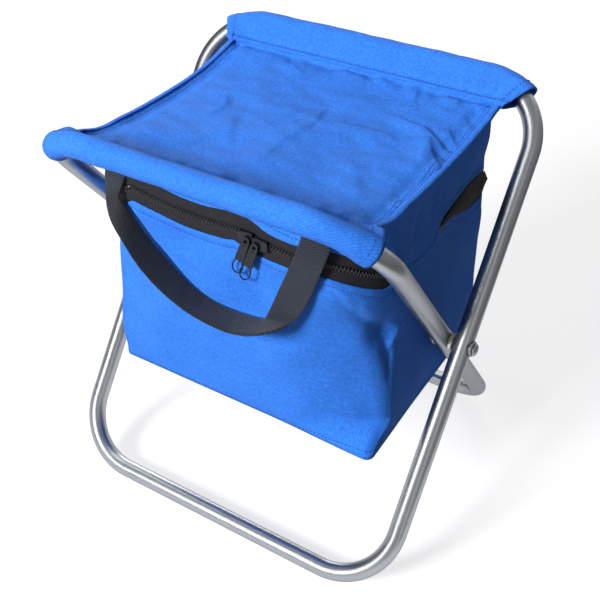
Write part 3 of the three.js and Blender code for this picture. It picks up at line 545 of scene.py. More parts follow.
def loop_tube(name, span, facing, pressed, place, body):
    turn = (np.arange(48) + 0.5) * TAU / 48
    def rings(radius, order):
        out = []
        for (x, z), normal, flat in order:
            crown = radius - flat
            reach = radius * np.cos(turn)
            if flat:
                reach = -np.log(np.exp(-2.2 * reach) + np.exp(-2.2 * crown)) / 2.2
            spread = 1 + 0.35 * flat * np.maximum(0, np.cos(turn)) / TUBE
            across = radius * np.sin(turn) * spread * facing
            out.append(np.stack([x + normal[0] * reach, across, z + normal[1] * reach], 1))
        return out
    order = loop_stations(span, pressed)
    points = np.array(rings(TUBE, order) + rings(TUBE - WALL, order[::-1]))
    tube = grid(name, place(points), "tube_steel", close_u=True, close_v=True, flip=facing < 0)
    return dress(tube, body, "tube_steel", name.replace("_bent", "_tube"))


loop_tube("outer_loop_bent", OUTER_SPAN, 1, 0, WIDE, "outer_frame")
loop_tube("inner_loop_bent", INNER_SPAN, -1, 1, NARROW, "inner_frame")
for node in ("outer_loop_ferrule", "inner_loop_ferrule"):
    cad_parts[node].data.materials.clear()
    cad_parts[node].data.materials.append(looks["zinc_steel"])

# Pivot hardware

OUTER_CROWN, INNER_FACE = OUTER_SPAN / 2 + TUBE, INNER_SPAN / 2 - TUBE
HEAD_BASE, CLINCH_BASE = OUTER_CROWN + 1.8, INNER_FACE - 1.8


def mirrored(place, sign):
    return lambda points: place(points * np.array([sign, 1, 1]))


def saddle(name, crown, outwards, place, sign):
    """A washer that is flat under the rivet and hollowed to sit on the leg."""
    radius = TUBE + 0.3
    turn = np.arange(48) * TAU / 48
    rows = []
    for r, top in ((3.35, 0), (6.6, 0), (6.8, 0), (6.8, 1), (6.3, 1.25), (5.4, 1.4), (3.6, 1.4), (3.35, 1.2)):
        y, z = r * np.cos(turn), r * np.sin(turn)
        seat = np.sqrt(radius ** 2 - y ** 2) - TUBE
        rise = seat if top == 0 else np.full(48, 0.1 + top)
        if top == 1:
            rise = np.full(48, 1.0)
        rows.append(np.stack([crown + outwards * rise, y, z], 1))
    points = np.array(rows + rows[:1])
    return grid(name, mirrored(place, sign)(points), "zinc_steel", close_v=True, flip=outwards * sign > 0)


for side, sign in (("right", 1), ("left", -1)):
    head = [(0.0, HEAD_BASE + 3.2)] + arc((0, HEAD_BASE + 0.7), (5.3, 2.5), 84, 12, 9)
    head += [(5.5, HEAD_BASE + 0.7), (5.5, HEAD_BASE + 0.25), (5.25, HEAD_BASE), (3.0, HEAD_BASE)]
    clinch = [(3.0, CLINCH_BASE), (4.6, CLINCH_BASE)]
    clinch += arc((3.2, CLINCH_BASE - 0.95), (1.6, 0.95), 70, -90, 8)
    clinch += [(2.1, CLINCH_BASE - 1.4), (1.7, CLINCH_BASE - 0.2), (0.0, CLINCH_BASE + 0.3)]
    rivet = lathe(f"pivot_rivet_{side}_round", head + clinch, "zinc_steel", mirrored(WIDE, sign))
    dress(rivet, "outer_frame", "zinc_steel", f"pivot_rivet_{side}")
    low, high = INNER_SPAN / 2 + TUBE - DENT + 0.3, OUTER_SPAN / 2 - TUBE - 0.3
    ring = [(3.35, low), (6.6, low), (7.0, low + 0.4)]
    ring += [(7.0, high - 0.4), (6.6, high), (3.35, high), (3.35, low)]
    spacer = lathe(f"pivot_spacer_{side}_ring", ring, "washer_nylon", mirrored(WIDE, sign))
    dress(spacer, "outer_frame", "washer_nylon", f"pivot_spacer_{side}")
    for loop, crown, outwards, place in (("outer", OUTER_CROWN, 1, WIDE), ("inner", INNER_FACE, -1, NARROW)):
        washer = saddle(f"{loop}_saddle_{side}_cup", crown, outwards, place, sign)
        dress(washer, f"{loop}_frame", "zinc_steel", f"{loop}_saddle_{side}")

# Cloth sleeves round the top bars

SEAM_BELOW = REACH * math.sin(LEAN) + DROP * math.cos(LEAN)
SEAM_ASIDE = DROP * math.sin(LEAN) - REACH * math.cos(LEAN)


def sleeve_rings(span, facing, rows=(76, 26), count=170):
    """Rings round the tube and the seam, which turn with the bend past the straight bar."""
    straight, hug = span / 2 - BEND, TUBE + 0.8 + CLOTH
    full_turn = math.atan((SLEEVE_HALF - straight) / (BEND - SEAM_BELOW))
    up = np.array([0, facing * math.sin(LEAN), math.cos(LEAN)])
    aside = np.array([0, facing * math.cos(LEAN), -math.sin(LEAN)])
    bent = np.linspace(0, full_turn, rows[1])[1:]
    stations = [(-straight, -turn) for turn in bent[::-1]]
    stations += [(x, 0.0) for x in np.linspace(-straight, straight, rows[0])]
    stations += [(straight, turn) for turn in bent]
    angles = math.atan2(SEAM_ASIDE, -SEAM_BELOW) + np.linspace(0, TAU, 1441)
    c, s = np.cos(angles), np.sin(angles)
    points, normals = [], []
    for x, turn in stations:
        outwards = up * math.cos(turn) + np.array([math.sin(turn), 0, 0])
        centre = np.array([x, 0, 0]) - up * BEND
        circles = np.array([(BEND, 0, hug), ((BEND - SEAM_BELOW) / math.cos(turn), SEAM_ASIDE, BEAD)])
        pick = circles[(circles[:, :1] * c + circles[:, 1:2] * s + circles[:, 2:]).argmax(0)]
        ring = resample(np.stack([pick[:, 0] + c * pick[:, 2], pick[:, 1] + s * pick[:, 2], c, s], 1),
                        count + 1)[:-1]
        points.append(centre + ring[:, :1] * outwards + ring[:, 1:2] * aside)
        normals.append(ring[:, 2:3] * outwards + ring[:, 3:] * aside)
    return np.array(points), unit(np.array(normals))


def end_distance(points):
    """For each point of a sleeve, how far along the cloth its nearer end is."""
    steps = np.linalg.norm(np.diff(points, axis=0), axis=2)
    along = np.concatenate([np.zeros((1, steps.shape[1])), np.cumsum(steps, 0)])
    return np.minimum(along, along[-1] - along)


# Creases that start at a sleeve's seam: x there, x at their end, how far up they reach, depth
BACK_CREASES = ((-30, 5, 24), (5, 20, 20), (58, 74, 22), (104, 96, 18), (118, 126, 20), (-92, -84, 16))
FRONT_CREASES = (
    (-62, -55, 10, 1.2), (-36, -42, 12, 1.5), (-6, 2, 11, 1.2), (22, 16, 9, 0.9),
    (62, 70, 12, 1.4), (84, 78, 13, 1.6), (104, 110, 9, 1.0), (-96, -88, 12, 1.0),
)


def sleeve(name, node, span, facing, body, seed):
    points, normals = sleeve_rings(span, facing)
    x = points[..., 0]
    place = np.arange(points.shape[1]) / points.shape[1]
    ring = np.linalg.norm(np.diff(points[60], axis=0), axis=1).sum()
    along = np.minimum(place, 1 - place)[None] * ring * np.ones_like(x)
    top = (place < 0.5)[None] & np.ones_like(x, bool)
    end = end_distance(points)
    inside = smooth(end, 0, 14)
    height = 0.45 * ripples(x, along, 46, seed) + 0.2 * ripples(x, along, 17, seed + 1)
    height = height * smooth(along, 2, 9) * inside
    height += 0.4 * (1 - smooth(end, 8.8, 9.6)) - 0.45 * hump(end, 7.2, 0.7)
    height -= 0.35 * hump(along, 4.2, 0.9)
    flat_along = np.where(top, along, 60)
    if facing > 0:
        height += (1.5 + 0.5 * ripples(x, x * 0, 6, 12)) * hump(flat_along, 2.2, 1.7)
        height -= 0.6 * hump(flat_along, 7.0, 2.2)
        for x0, x1, reach in BACK_CREASES:
            height += crease(x, flat_along, [(x0, 3), (x1, reach)], 0.7, 2.0) * inside
    else:
        for x0, x1, reach, depth in FRONT_CREASES:
            height += crease(x, flat_along, [(x0, 2), (x1, reach)], 1.4 * depth, 2.8) * inside
        height += 0.6 * ripples(x, along * 3, 26, seed + 5) * hump(along, 7, 6) * top * inside
        gather = 0.55 + 0.45 * ripples(x, x * 0, 34, seed + 6) + 0.3 * ripples(x, x * 0, 12, seed + 7)
        height -= 2.6 * gather * hump(along, 15, 6) * top * inside
    seamward = hump(np.minimum(along, 60), 0, 16)
    flare = 1 - smooth(end, 0, 26)
    points = points + normals * (height + (1.2 + 1.6 * seamward) * flare)[..., None]
    points[..., 0] += np.sign(x) * flare * (3.0 + 1.5 * seamward)
    points = points + np.array([0, facing * BAR_Y, BAR_Z])
    tube = grid(name, points, "blue_cloth", close_v=True, flip=facing < 0)
    thicken(tube, CLOTH)
    dress(tube, body, "blue_cloth", node)
    lines = []
    turned = np.arange(points.shape[1] + 1) % points.shape[1]
    near = end.mean(1)
    for rows in (slice(0, 40), slice(len(near) - 40, None)):
        row = rows.start + int(np.argmin(np.abs(near[rows] - 7.2)))
        lines.append((points[row, turned], normals[row, turned]))
    seam = round(4.2 / ring * points.shape[1])
    for column in (seam, points.shape[1] - seam):
        lines.append((points[8:-8, column], normals[8:-8, column]))
    dress(stitches(f"{name}_stitches", lines), body, "blue_cloth")


sleeve("front_sleeve_cloth", "front_sleeve", INNER_SPAN, -1, "inner_frame", 3)
sleeve("back_sleeve_cloth", "back_sleeve", OUTER_SPAN, 1, "outer_frame", 8)

# Seat

SEAT_REACH = SEAM_Y - BEAD - 0.3


def seat_half(y):
    return SLEEVE_HALF - 1 - 1.5 * (1 - (y / SEAT_REACH) ** 2)


def seat_middle(x, y):
    along = np.clip(1 - (y / SEAT_REACH) ** 2, 0, 1)
    across = np.clip(1 - (x / SLEEVE_HALF) ** 2, 0, 1)
    level = SEAM_Z - SAG * along + CROWN * along * across
    rise = 2.0 * hump(y, 0, 50) * along
    dip = 2.6 * hump(y, -80, 17) * np.minimum(1, along * 4)
    return level + rise - dip


SEAT_FOLDS = [  # line, height, steep side, slow side
    ([(8, -70), (6.5, -25), (13, 13), (0.5, 47)], 1.0, 3.0, 12),
    ([(4, 46), (6, 30), (10, 14)], 1.4, 5.0, 13),
    ([(14, 16), (48, 25.5), (70, 24.5), (86, 20)], 1.6, 3.2, 13),
    ([(60, 56), (76, 51), (92, 48), (117, 32), (128, 26)], 2.6, 2.8, 11),
    ([(99, 38), (110, 21), (121, 8), (131, -1)], 3.6, 4.0, 10),
    ([(97, 30), (108, 10), (126, -10)], 2.4, 7.0, 13),
    ([(116, 24), (123, 16), (130, 10)], 1.4, 2.0, 6),
    ([(56, -10), (79, -43.5), (98, -68)], 1.9, 9.0, 18),
    ([(-114, 18), (-78, 29), (-40, 33)], 1.0, 1.6, 9),
    ([(-84, 27), (-70, 6), (-72, -20)], 1.3, 4.0, 13),
    ([(-60, 6), (-44, -22), (-26, -54)], 1.2, 5.0, 16),
    ([(-24, -12), (-8, 24)], 1.2, 4.0, 14),
    ([(57, 106), (62, 92), (66, 78)], 1.7, 3.0, 10),
    ([(95, 104), (100, 88)], 1.4, 3.0, 9),
    ([(-66, 94), (-36, 78)], 0.9, 3.0, 12),
    ([(106, 58), (126, 38)], 1.2, 2.4, 8),
    ([(110, 82), (127, 62)], 0.8, 2.6, 8),
    ([(-122, -36), (-92, -28)], 0.8, 2.4, 9),
    ([(108, -70), (128, -48)], 1.0, 2.0, 8),
    ([(14, 60), (30, 72)], 0.7, 2.4, 8),
]
SEAT_DIPS = [  # place, size, depth
    ((-66, 12), (24, 16), 2.6), ((4, 36), (16, 11), 2.4), ((62, -40), (20, 26), 2.0),
    ((-30, -50), (24, 18), 1.6), ((70, 40), (30, 9), 1.5), ((108, 14), (14, 13), 2.0),
    ((-96, 62), (18, 20), 1.4), ((34, 84), (26, 10), 1.4),
]


def seat_height(x, y):
    z = seat_middle(x, y) + CLOTH / 2
    hem = seat_half(y) - np.abs(x)
    seam = SEAT_REACH - np.abs(y)
    inside = smooth(hem, 0, 12) * smooth(seam, 0, 9)
    for line, height, sharp, broad in SEAT_FOLDS:
        z = z + fold(x, y, line, height, sharp, broad) * smooth(hem, 0, 5)
    for place, size, depth in SEAT_DIPS:
        z = z + dent(x, y, place, size, depth) * inside
    z = z + (1.5 * ripples(x, y, 84, 21) + 0.4 * ripples(x, y, 26, 22) + 0.1 * ripples(x, y, 9, 23)) * inside
    z = z + 0.7 * hump(hem, 2.6, 2.4) - 1.7 * hump(hem, 12, 5.5) * smooth(seam, 3, 20)
    for place in (5.0, 7.8):
        z = z - 0.5 * hump(hem, place, 0.6)
    pucker = 0.22 * ripples(x * 0.2, y, 5.5, 24) * hump(hem, 6.5, 4)
    front = np.where(y < 0, 1.0, 0.7)
    gather = 1.9 * ripples(x, y * 0.3, 21, 25) * hump(seam, 7, 7) * smooth(hem, 0, 10)
    valley = 2.2 * hump(seam, 3.5, 4.0) * smooth(seam, -0.5, 2)
    return z + pucker + front * (gather - valley)


rows = np.linspace(-SEAT_REACH - 0.6, SEAT_REACH + 0.6, 230)
shares = np.sin(np.linspace(-1, 1, 280) * math.pi / 2 * 0.9) / math.sin(math.pi / 2 * 0.9)
y, share = np.meshgrid(rows, shares, indexing="ij")
x = share * seat_half(np.clip(y, -SEAT_REACH, SEAT_REACH))
seat_points = np.stack([x, y, seat_height(x, y)], 2)
seat = thicken(grid("seat_cloth", seat_points, "blue_cloth", flip=True), CLOTH)
dress(seat, SEAT_BODIES, "blue_cloth", "seat_panel")

seat_lines = []
for sign in (-1, 1):
    for inset in (5.0, 7.8):
        y = np.linspace(-SEAT_REACH + 2, SEAT_REACH - 2, 160)
        x = sign * (seat_half(y) - inset)
        seat_lines.append((np.stack([x, y, seat_height(x, y)], 1), (0, 0, 1)))
dress(stitches("seat_stitches", seat_lines), SEAT_BODIES, "blue_cloth")

for side, sign in (("right", 1), ("left", -1)):
    y = np.linspace(-SEAT_REACH + 0.3, SEAT_REACH - 0.3, 120)
    edge = seat_half(y)
    middle = seat_middle(edge, y)
    upper = [(-3.5, 1.35), (-2.4, 1.55), (-1.2, 1.6), (0.2, 1.5), (0.85, 0.95)]
    section = upper + [(1.1, 0)] + [(a, -b) for a, b in upper[::-1]]
    wave = 0.18 * ripples(y, y * 0, 16, 31 + sign)
    strip = np.array([np.stack([sign * (edge + a + wave * (a > -1)), y, middle + b + 0.3 * (b > 0)], 1)
                      for a, b in section]).transpose(1, 0, 2)
    binding = thicken(grid(f"seat_edge_{side}", strip, "blue_cloth", flip=sign < 0), 0.6)
    dress(binding, SEAT_BODIES, "blue_cloth", f"side_binding_{side}")

# Bag walls: a place is a run value, 0-5 from the left back corner round the front to the right
# back corner and on to 8 round the back, and a height

ZIP_WAVE_X = [-110, -84, -58, -33, -8, 8, 24, 36, 47, 70, 95]
ZIP_WAVE_Z = [2.0, 9.0, 5.8, 3.4, 2.4, 3.6, 4.4, 1.8, -0.8, -2.4, 1.0]
wave_x = np.linspace(-118, 118, 237)
wave_z = np.convolve(np.interp(wave_x, ZIP_WAVE_X, ZIP_WAVE_Z), np.hanning(13) / np.hanning(13).sum(), "same")


BAG_ASIDE = 3.5  # the bag hangs a little to the right


def zip_height(run):
    front = np.minimum(smooth(run, 1, 1.9), 1 - smooth(run, 3.05, 4.1))
    x = np.clip((run - 2.5) * 2, -1.6, 1.6) * 72
    return lerp(ZIP_SIDE, ZIP_FRONT, front) + np.interp(x, wave_x, wave_z) * front


# How far each front corner of the filled bag slants back: side, reach, rise over the floor, full share
FRONT_SLANTS = ((1, 31, 26, 0.66), (-1, 9.5, 120, 0.86))
SLANT_START, SLANT_WIDTH = 42, 84


def wall(run, z, inset=0.0):
    """Points on the wall and the level directions that face out of it."""
    run, z, inset = np.broadcast_arrays(np.asarray(run, float), z, inset)
    zip_z = zip_height(run)
    below = z < zip_z
    low = np.clip((z - FLOOR_Z) / (zip_z - HEM - FLOOR_Z), 0, 1)
    high = np.clip((z - zip_z - HEM) / (SKIRT_TOP - zip_z - HEM), 0, 1)
    half, front, corner = [
        np.where(below, lerp(FLOOR_LINE[k], ZIP_LINE[k], low ** (2.6 if k == 2 else 1)),
                 lerp(ZIP_LINE[k], LID_LINE[k], high)) for k in range(3)
    ]
    swell = np.where(below, np.sin(low * math.pi), 0)
    leg = np.minimum(np.floor(run), 7).astype(int)
    share = run - leg
    end, start = BACK - BACK_CORNER, front + corner
    c, s = np.cos(share * math.pi / 2), np.sin(share * math.pi / 2)
    out = swell * np.sin(share * math.pi)
    zero, one = np.zeros_like(z), np.ones_like(z)
    table = [
        (-half, lerp(end, start, share), -one, zero, out * BULGE[0]),
        (corner - half, start, -c, -s, corner),
        (lerp(corner - half, half - corner, share), front, zero, -one, out * BULGE[1]),
        (half - corner, start, s, -c, corner),
        (half, lerp(start, end, share), one, zero, out * BULGE[0]),
        (half - BACK_CORNER, end + zero, c, s, BACK_CORNER + zero),
        (lerp(half - BACK_CORNER, BACK_CORNER - half, share), BACK + zero, zero, one, out * BULGE[1]),
        (BACK_CORNER - half, end + zero, -s, c, BACK_CORNER + zero),
    ]
    x, y, nx, ny, reach = [np.select([leg == k for k in range(8)], [row[i] for row in table])
                           for i in range(5)]
    reach = reach - inset
    normal = np.stack([nx, ny, zero], -1)
    x, y = x + nx * reach, y + ny * reach
    filled = np.where(below, 1 - low, 0)
    drop = 3.0 * smooth(x, 30, 122) * smooth(-y, 10, 92) * filled ** 2
    soft = 0
    for sign, reach_back, rise, full in FRONT_SLANTS:
        beside = np.clip((sign * x - SLANT_START) / SLANT_WIDTH, 0, 1)
        soft = soft + smooth(z - FLOOR_Z, 0, rise) * (1 - smooth(low, full, 1)) * reach_back * beside ** 2
    y = y + soft * below * np.clip(-y / 95, 0, 1)
    x = x + 1.8 * smooth(y, 40, 96) * smooth(x, 60, 120) * (1 - hump(z, 294, 22)) * smooth(z - FLOOR_Z, 0, 30)
    return np.stack([x + np.where(below, BAG_ASIDE, BAG_ASIDE * (1 - high)), y, z - drop], -1), normal


def level_place(run, z):
    """x and y of the wall's points."""
    points, _ = wall(run, z)
    return points[..., 0], points[..., 1]


def run_rows(low, high, spacing=2.4):
    """Run values from low to high, evenly spaced along the wall at the zip's height."""
    fine = np.linspace(low, high, 1500)
    points, _ = wall(fine, 300.0)
    along = distances(points)
    return np.interp(np.linspace(0, along[-1], int(along[-1] / spacing)), along, fine)


def under_seat(run, inset):
    z = np.full(np.shape(run), SEAM_Z)
    for _ in range(5):
        points, _ = wall(run, z, inset)
        z = seat_height(points[..., 0], points[..., 1]) - CLOTH - 0.9
    return z


def on_side(run):
    return smooth(run, 3.75, 4.0) * (run <= 5) + (1 - smooth(run, 1.0, 1.25)) * (run >= 0) * (run < 2)


def skirt_hem(run):
    """The lid's skirt hangs over the zip on the sides, up to the dark end of the zip's tape."""
    x, y = level_place(run, zip_height(run))
    front = smooth(run, 1.6, 1.9) * (1 - smooth(run, 3.1, 3.4))
    plain = zip_height(run) + HEM + front * (1.2 + 0.5 * np.sin(x / 13) - 2.2 * smooth(x, 34, 60))
    side = np.interp(y, [-60, -30, -8, 0, 10, 24, 57, 90, 104],
                     [282, 274, 274, 283, 289, 292.5, 296, 293.5, 289])
    return lerp(plain, side, on_side(run))


def bag_hem(run):
    x, y = level_place(run, zip_height(run))
    front = smooth(run, 1.6, 1.9) * (1 - smooth(run, 3.1, 3.4))
    pucker = front * (0.5 + 1.8 * hump(x, 19, 4) + 0.5 * np.sin(x / 11 + 1))
    side = np.interp(y, [-60, -30, 8, 20, 40, 67, 94, 104], [283, 285, 285, 284, 278.5, 270.7, 270, 270])
    return lerp(zip_height(run) - HEM + pucker, side, on_side(run))


def bag_relief(run, z):
    """How far the filled bag's cloth stands out from its plain wall."""
    x, y = level_place(run, z)
    along = np.where(run < 2.5, -1, 1) * np.hypot(np.abs(x), np.maximum(0, y + 60))
    top = bag_hem(run) - z
    bottom = z - FLOOR_Z
    calm = smooth(top, 0, 16) * smooth(bottom, 0, 14)
    relief = (1.3 * ripples(along, z, 95, 41) + 0.5 * ripples(along, z * 0.6, 38, 42)) * calm
    relief += 0.5 * hump(top, 3.2, 2.2) - 0.4 * hump(top, 6.8, 0.9)
    for sign, deep in ((1, 1.0), (-1, 0.45)):
        on = np.where(x * sign > 0, 1.0, 0.0) * deep
        turn = np.where(sign > 0, run - 3, 2 - run)
        relief += on * crease(turn * 60, z, [(8, 292), (16, 276), (14, 262)], 1.0, 4.0, 0.5)
        screen = 1.146 * x * sign + 0.75 * y
        relief += on * dent(screen, z, (87, 232), (13, 13), 6.5)
        relief -= on * crease(screen, z, [(97, 208), (104, 221), (113, 233)], 1.6, 4.0, 0.0)
        relief += on * dent(screen, z, (97, 214), (9, 12), 2.6)
        relief += on * crease(screen, z, [(52, 268), (66, 252), (84, 238)], 1.6, 6.0, 0.6)
        relief += on * crease(screen, z, [(90, 224), (98, 206), (101, 180)], 1.5, 5.0, 0.5)
        relief += on * crease(screen, z, [(70, 160), (86, 142), (92, 122)], 1.0, 7.0, 0.5)
    for line, depth, width in (([(-70, 276), (-40, 262), (-12, 258)], 0.8, 5),
                               ([(-86, 288), (-70, 262), (-62, 236)], 0.9, 5),
                               ([(20, 292), (16, 270), (24, 250)], 0.8, 4),
                               ([(-20, 170), (30, 160), (66, 172)], 0.6, 9),
                               ([(-100, 190), (-86, 160), (-92, 136)], 0.7, 6),
                               ([(60, 288), (72, 268)], 0.8, 4)):
        relief += (run > 1) * (run < 4) * crease(x, z, line, depth, width, 0.5)
    return relief * smooth(bottom, 0, 5)


def wall_sheet(name, look, low_run, high_run, low, high, inset=0.0, relief=None, rows=60, spacing=2.4,
               ease=None):
    runs = run_rows(low_run, high_run, spacing)
    share = np.linspace(0, 1, rows) if ease is None else ease(np.linspace(0, 1, rows))
    run = np.repeat(runs[:, None], rows, 1)
    z = lerp(low(runs)[:, None], high(runs)[:, None], share[None])
    points, normal = wall(run, z, inset)
    if relief is not None:
        points = points + normal * relief(run, z)[..., None]
    return grid(name, points, look), points, normal


def constant(height):
    """A sheet's edge at one height, whatever the run value."""
    return lambda run: np.full(np.shape(run), height)


sunk_floor = constant(FLOOR_Z + 0.4)


wrap, wrap_points, wrap_normals = wall_sheet(
    "bag_wrap", "blue_cloth", 0, 5, sunk_floor, bag_hem, relief=bag_relief, rows=110, spacing=2.0,
    ease=lambda s: s ** 0.85)
thicken(wrap, SHELL)
dress(wrap, "cooler_bag", "blue_cloth", "bag_front", "bag_side_left", "bag_side_right")


def back_relief(run, z):
    x, _ = level_place(run, z)
    bottom = z - FLOOR_Z
    edge = smooth(BACK_CORNER + 100 - np.abs(x), 0, 20) * smooth(bottom, 0, 16)
    relief = (1.6 * ripples(x, z, 110, 51) + 0.5 * ripples(x, z, 44, 52)) * edge
    for line, depth, width in (([(-70, 330), (-40, 280), (-50, 220)], 1.4, 9),
                               ([(60, 335), (52, 290), (70, 250)], 1.3, 8),
                               ([(-90, 180), (-20, 160), (40, 168)], 1.0, 10),
                               ([(90, 200), (70, 150)], 1.0, 8)):
        relief += crease(x, z, line, depth, width, 0.5) * edge
    return relief


back, back_sheet_points, back_normals = wall_sheet(
    "bag_back_cloth", "blue_cloth", 5, 8, sunk_floor, lambda run: under_seat(run, 0),
    relief=back_relief, rows=90, spacing=3.0)
thicken(back, SHELL)
dress(back, "cooler_bag", "blue_cloth", "bag_back")


def skirt_relief(run, z):
    x, y = level_place(run, z)
    above = z - skirt_hem(run)
    top = under_seat(run, 0) - z
    side = on_side(run)
    relief = 0.8 * ripples(x + y, z, 48, 61) * smooth(above, 0, 10) * smooth(top, 0, 10)
    relief += 0.5 * hump(above, 2.6, 1.8) - 0.35 * hump(above, 5.4, 0.8)
    flap = side * smooth(y, -70, -48) * (1 - smooth(y, -6, 14))
    relief += 2.6 * flap * (1 - smooth(above, 10, 44)) + 3.6 * side * smooth(z, 296, 330)
    for line, depth in (([(-40, 300), (-30, 325)], 1.2), ([(0, 296), (12, 322)], 1.4),
                        ([(48, 304), (40, 326)], 1.0)):
        relief += side * crease(y, z, line, depth, 5, 0.6)
    return relief


skirt, skirt_points, skirt_normals = wall_sheet(
    "lid_skirt_cloth", "blue_cloth", 0, 5, skirt_hem, lambda run: under_seat(run, 0),
    relief=skirt_relief, rows=40, spacing=2.0)
thicken(skirt, SHELL)
dress(skirt, "cooler_bag", "blue_cloth", "lid_skirt")


def along_rows(points, normals, values, target):
    """The line where a sheet's value, such as the distance from its hem, meets a target."""
    path, out = [], []
    for row, normal, value in zip(points, normals, values):
        order = np.argsort(value)
        path.append([np.interp(target, value[order], row[order, k]) for k in range(3)])
        out.append([np.interp(target, value[order], normal[order, k]) for k in range(3)])
    return np.array(path), np.array(out)


wrap_drop = np.linalg.norm(wrap_points - wrap_points[:, -1:], axis=2)
skirt_rise = np.linalg.norm(skirt_points - skirt_points[:, :1], axis=2)
seam_lines = [
    along_rows(wrap_points, wrap_normals, wrap_drop, 6.8),
    along_rows(skirt_points, skirt_normals, skirt_rise, 5.4),
    along_rows(wrap_points, wrap_normals, wrap_points[..., 2], FLOOR_Z + 3.4),
    along_rows(back_sheet_points, back_normals, back_sheet_points[..., 2], FLOOR_Z + 3.4),
]
dress(stitches("bag_stitches", seam_lines), "cooler_bag", "blue_cloth")

# Floor of the bag

def outline(z, inset, spacing=3.0):
    points, _ = wall(run_rows(0, 8, spacing)[:-1], z, inset)
    return points


def plate(name, look, z, inset, rings, height):
    """A level sheet inside the bag's outline: height(share, x, y) lifts it, share 0 at its edge."""
    edge = outline(z, inset)
    middle = np.array([0, (edge[:, 1].min() + edge[:, 1].max()) / 2, z])
    share = np.linspace(0, 0.985, rings)
    points = edge[:, None] + (middle - edge)[:, None] * share[None, :, None]
    points[..., 2] = z + height(share[None, :] * np.ones((len(edge), 1)), points[..., 0], points[..., 1])
    return grid(name, points, look, close_u=True)


def floor_relief(share, x, y):
    edge = 0.6 * hump(share, 0.0, 0.03) - 2.0 * smooth(share, 0, 0.5)
    return edge + 0.5 * ripples(x, y, 60, 71) * smooth(share, 0, 0.15)


floor = plate("bag_floor_cloth", "blue_cloth", FLOOR_Z, 0.2, 60, floor_relief)
thicken(floor, SHELL, 1.0)
dress(floor, "cooler_bag", "blue_cloth", "bag_floor")

# Foam, liner and the lid's underside

def below_tape(run):
    return zip_height(run) - TAPE - 1.5


HOLLOW_SHARE = 1.35


def pad_relief(run, z):
    """The bag's relief with deeper hollows, so that a coarser mesh stays behind the cloth."""
    relief = bag_relief(run, z)
    return np.where(relief < 0, HOLLOW_SHARE * relief, relief)


def below_seat(run):
    return under_seat(run, 1.3) - 5


PADS = (  # node, run values, top edge, relief
    ("foam_side_left", 0, 1.5, below_tape, pad_relief),
    ("foam_front", 1.5, 3.5, below_tape, pad_relief),
    ("foam_side_right", 3.5, 5, below_tape, pad_relief),
    ("foam_back", 5, 8, below_seat, back_relief),
)
for name, low_run, high_run, top, relief in PADS:
    pad, _, _ = wall_sheet(
        f"{name}_pad", "white_foam", low_run + 0.004, high_run - 0.004, constant(FLOOR_Z + 1.1), top,
        inset=1.3, relief=relief, rows=70, spacing=3)
    thicken(pad, FOAM - 0.4)
    dress(pad, "cooler_bag", "white_foam", name)

foam_floor = plate("foam_floor_pad", "white_foam", FLOOR_Z + 1.1 + FOAM, 5.6, 20, lambda share, x, y: 0 * x)
thicken(foam_floor, FOAM - 0.4)
dress(foam_floor, "cooler_bag", "white_foam", "foam_floor")


def liner_relief(run, z):
    x, y = level_place(run, z)
    crumple = 0.35 * ripples(x + y, z, 17, 81) + 0.25 * ripples(x, z, 8, 82)
    return np.where(run > 5, back_relief(run, z), pad_relief(run, z)) - np.abs(crumple)


def liner_top(run):
    return np.where(run > 5, under_seat(run, 5.6) - 7, below_tape(run))


liner, _, _ = wall_sheet(
    "bag_liner_foil", "silver_liner", 0, 7.999, constant(FLOOR_Z + 5.6), liner_top, inset=5.7,
    relief=liner_relief, rows=60, spacing=4)
thicken(liner, 0.4, even=False)
dress(liner, "cooler_bag", "silver_liner", "bag_liner")
liner_base = plate("bag_liner_base", "silver_liner", FLOOR_Z + 6.2, 5.8, 40,
                   lambda share, x, y: -0.25 + 0.25 * ripples(x, y, 14, 83))
dress(thicken(liner_base, 0.4), "cooler_bag", "silver_liner")


def lid_layer(name, node, look, gap, thickness, rough):
    inset = 6.9
    y = np.linspace(LID_LINE[1] + inset, BACK - inset - 2, 60)
    rounding = np.zeros_like(y)
    for corner, end, inwards in ((LID_LINE[2] - inset, y[0], 1), (BACK_CORNER - inset, y[-1], -1)):
        into = np.clip((end + inwards * corner - y) / (inwards * corner), 0, 1)
        rounding = np.maximum(rounding, corner * (1 - np.sqrt(1 - into * into)))
    half = LID_LINE[0] - inset - rounding
    x = half[:, None] * np.linspace(-1, 1, 60)[None]
    y = np.repeat(y[:, None], 60, 1)
    z = np.minimum(seat_height(x, y), seat_middle(x, y)) - CLOTH - gap - rough * np.abs(ripples(x, y, 15, 91))
    layer = thicken(grid(name, np.stack([x, y, z], 2), look, flip=True), thickness)
    return dress(layer, SEAT_BODIES, look, node)


lid_pad = lid_layer("lid_foam_pad", "lid_foam", "white_foam", 2.6, FOAM - 2.0, 0.0)
lid_layer("lid_foil_sheet", "lid_foil", "silver_liner", 4.9, 0.4, 0.3)

# Zip: tapes, two rows of coiled teeth, sliders and pulls

def tape(name, node, low, high):
    runs = run_rows(0.012, 4.988, 2.0)
    share = np.linspace(0, 1, 9)
    run = np.repeat(runs[:, None], 9, 1)
    z = zip_height(run) + lerp(low, high, share)[None]
    bow = 0.5 * np.sin(share * math.pi)[None] + 0.25 * ripples(run * 110, z, 30, 101)
    points, normal = wall(run, z, 1.1 + 1.2 * on_side(run))
    points = points + normal * bow[..., None]
    strip = thicken(grid(name, points, "zip_tape"), 0.6)
    return dress(strip, "cooler_bag", "black_webbing", node)


tape("zip_tape_upper_band", "zip_tape_upper", 2.0, TAPE)
tape("zip_tape_lower_band", "zip_tape_lower", 2.0 - TAPE, -2.0)

COIL_PITCH, COIL_WIRE = 2.6, 0.84


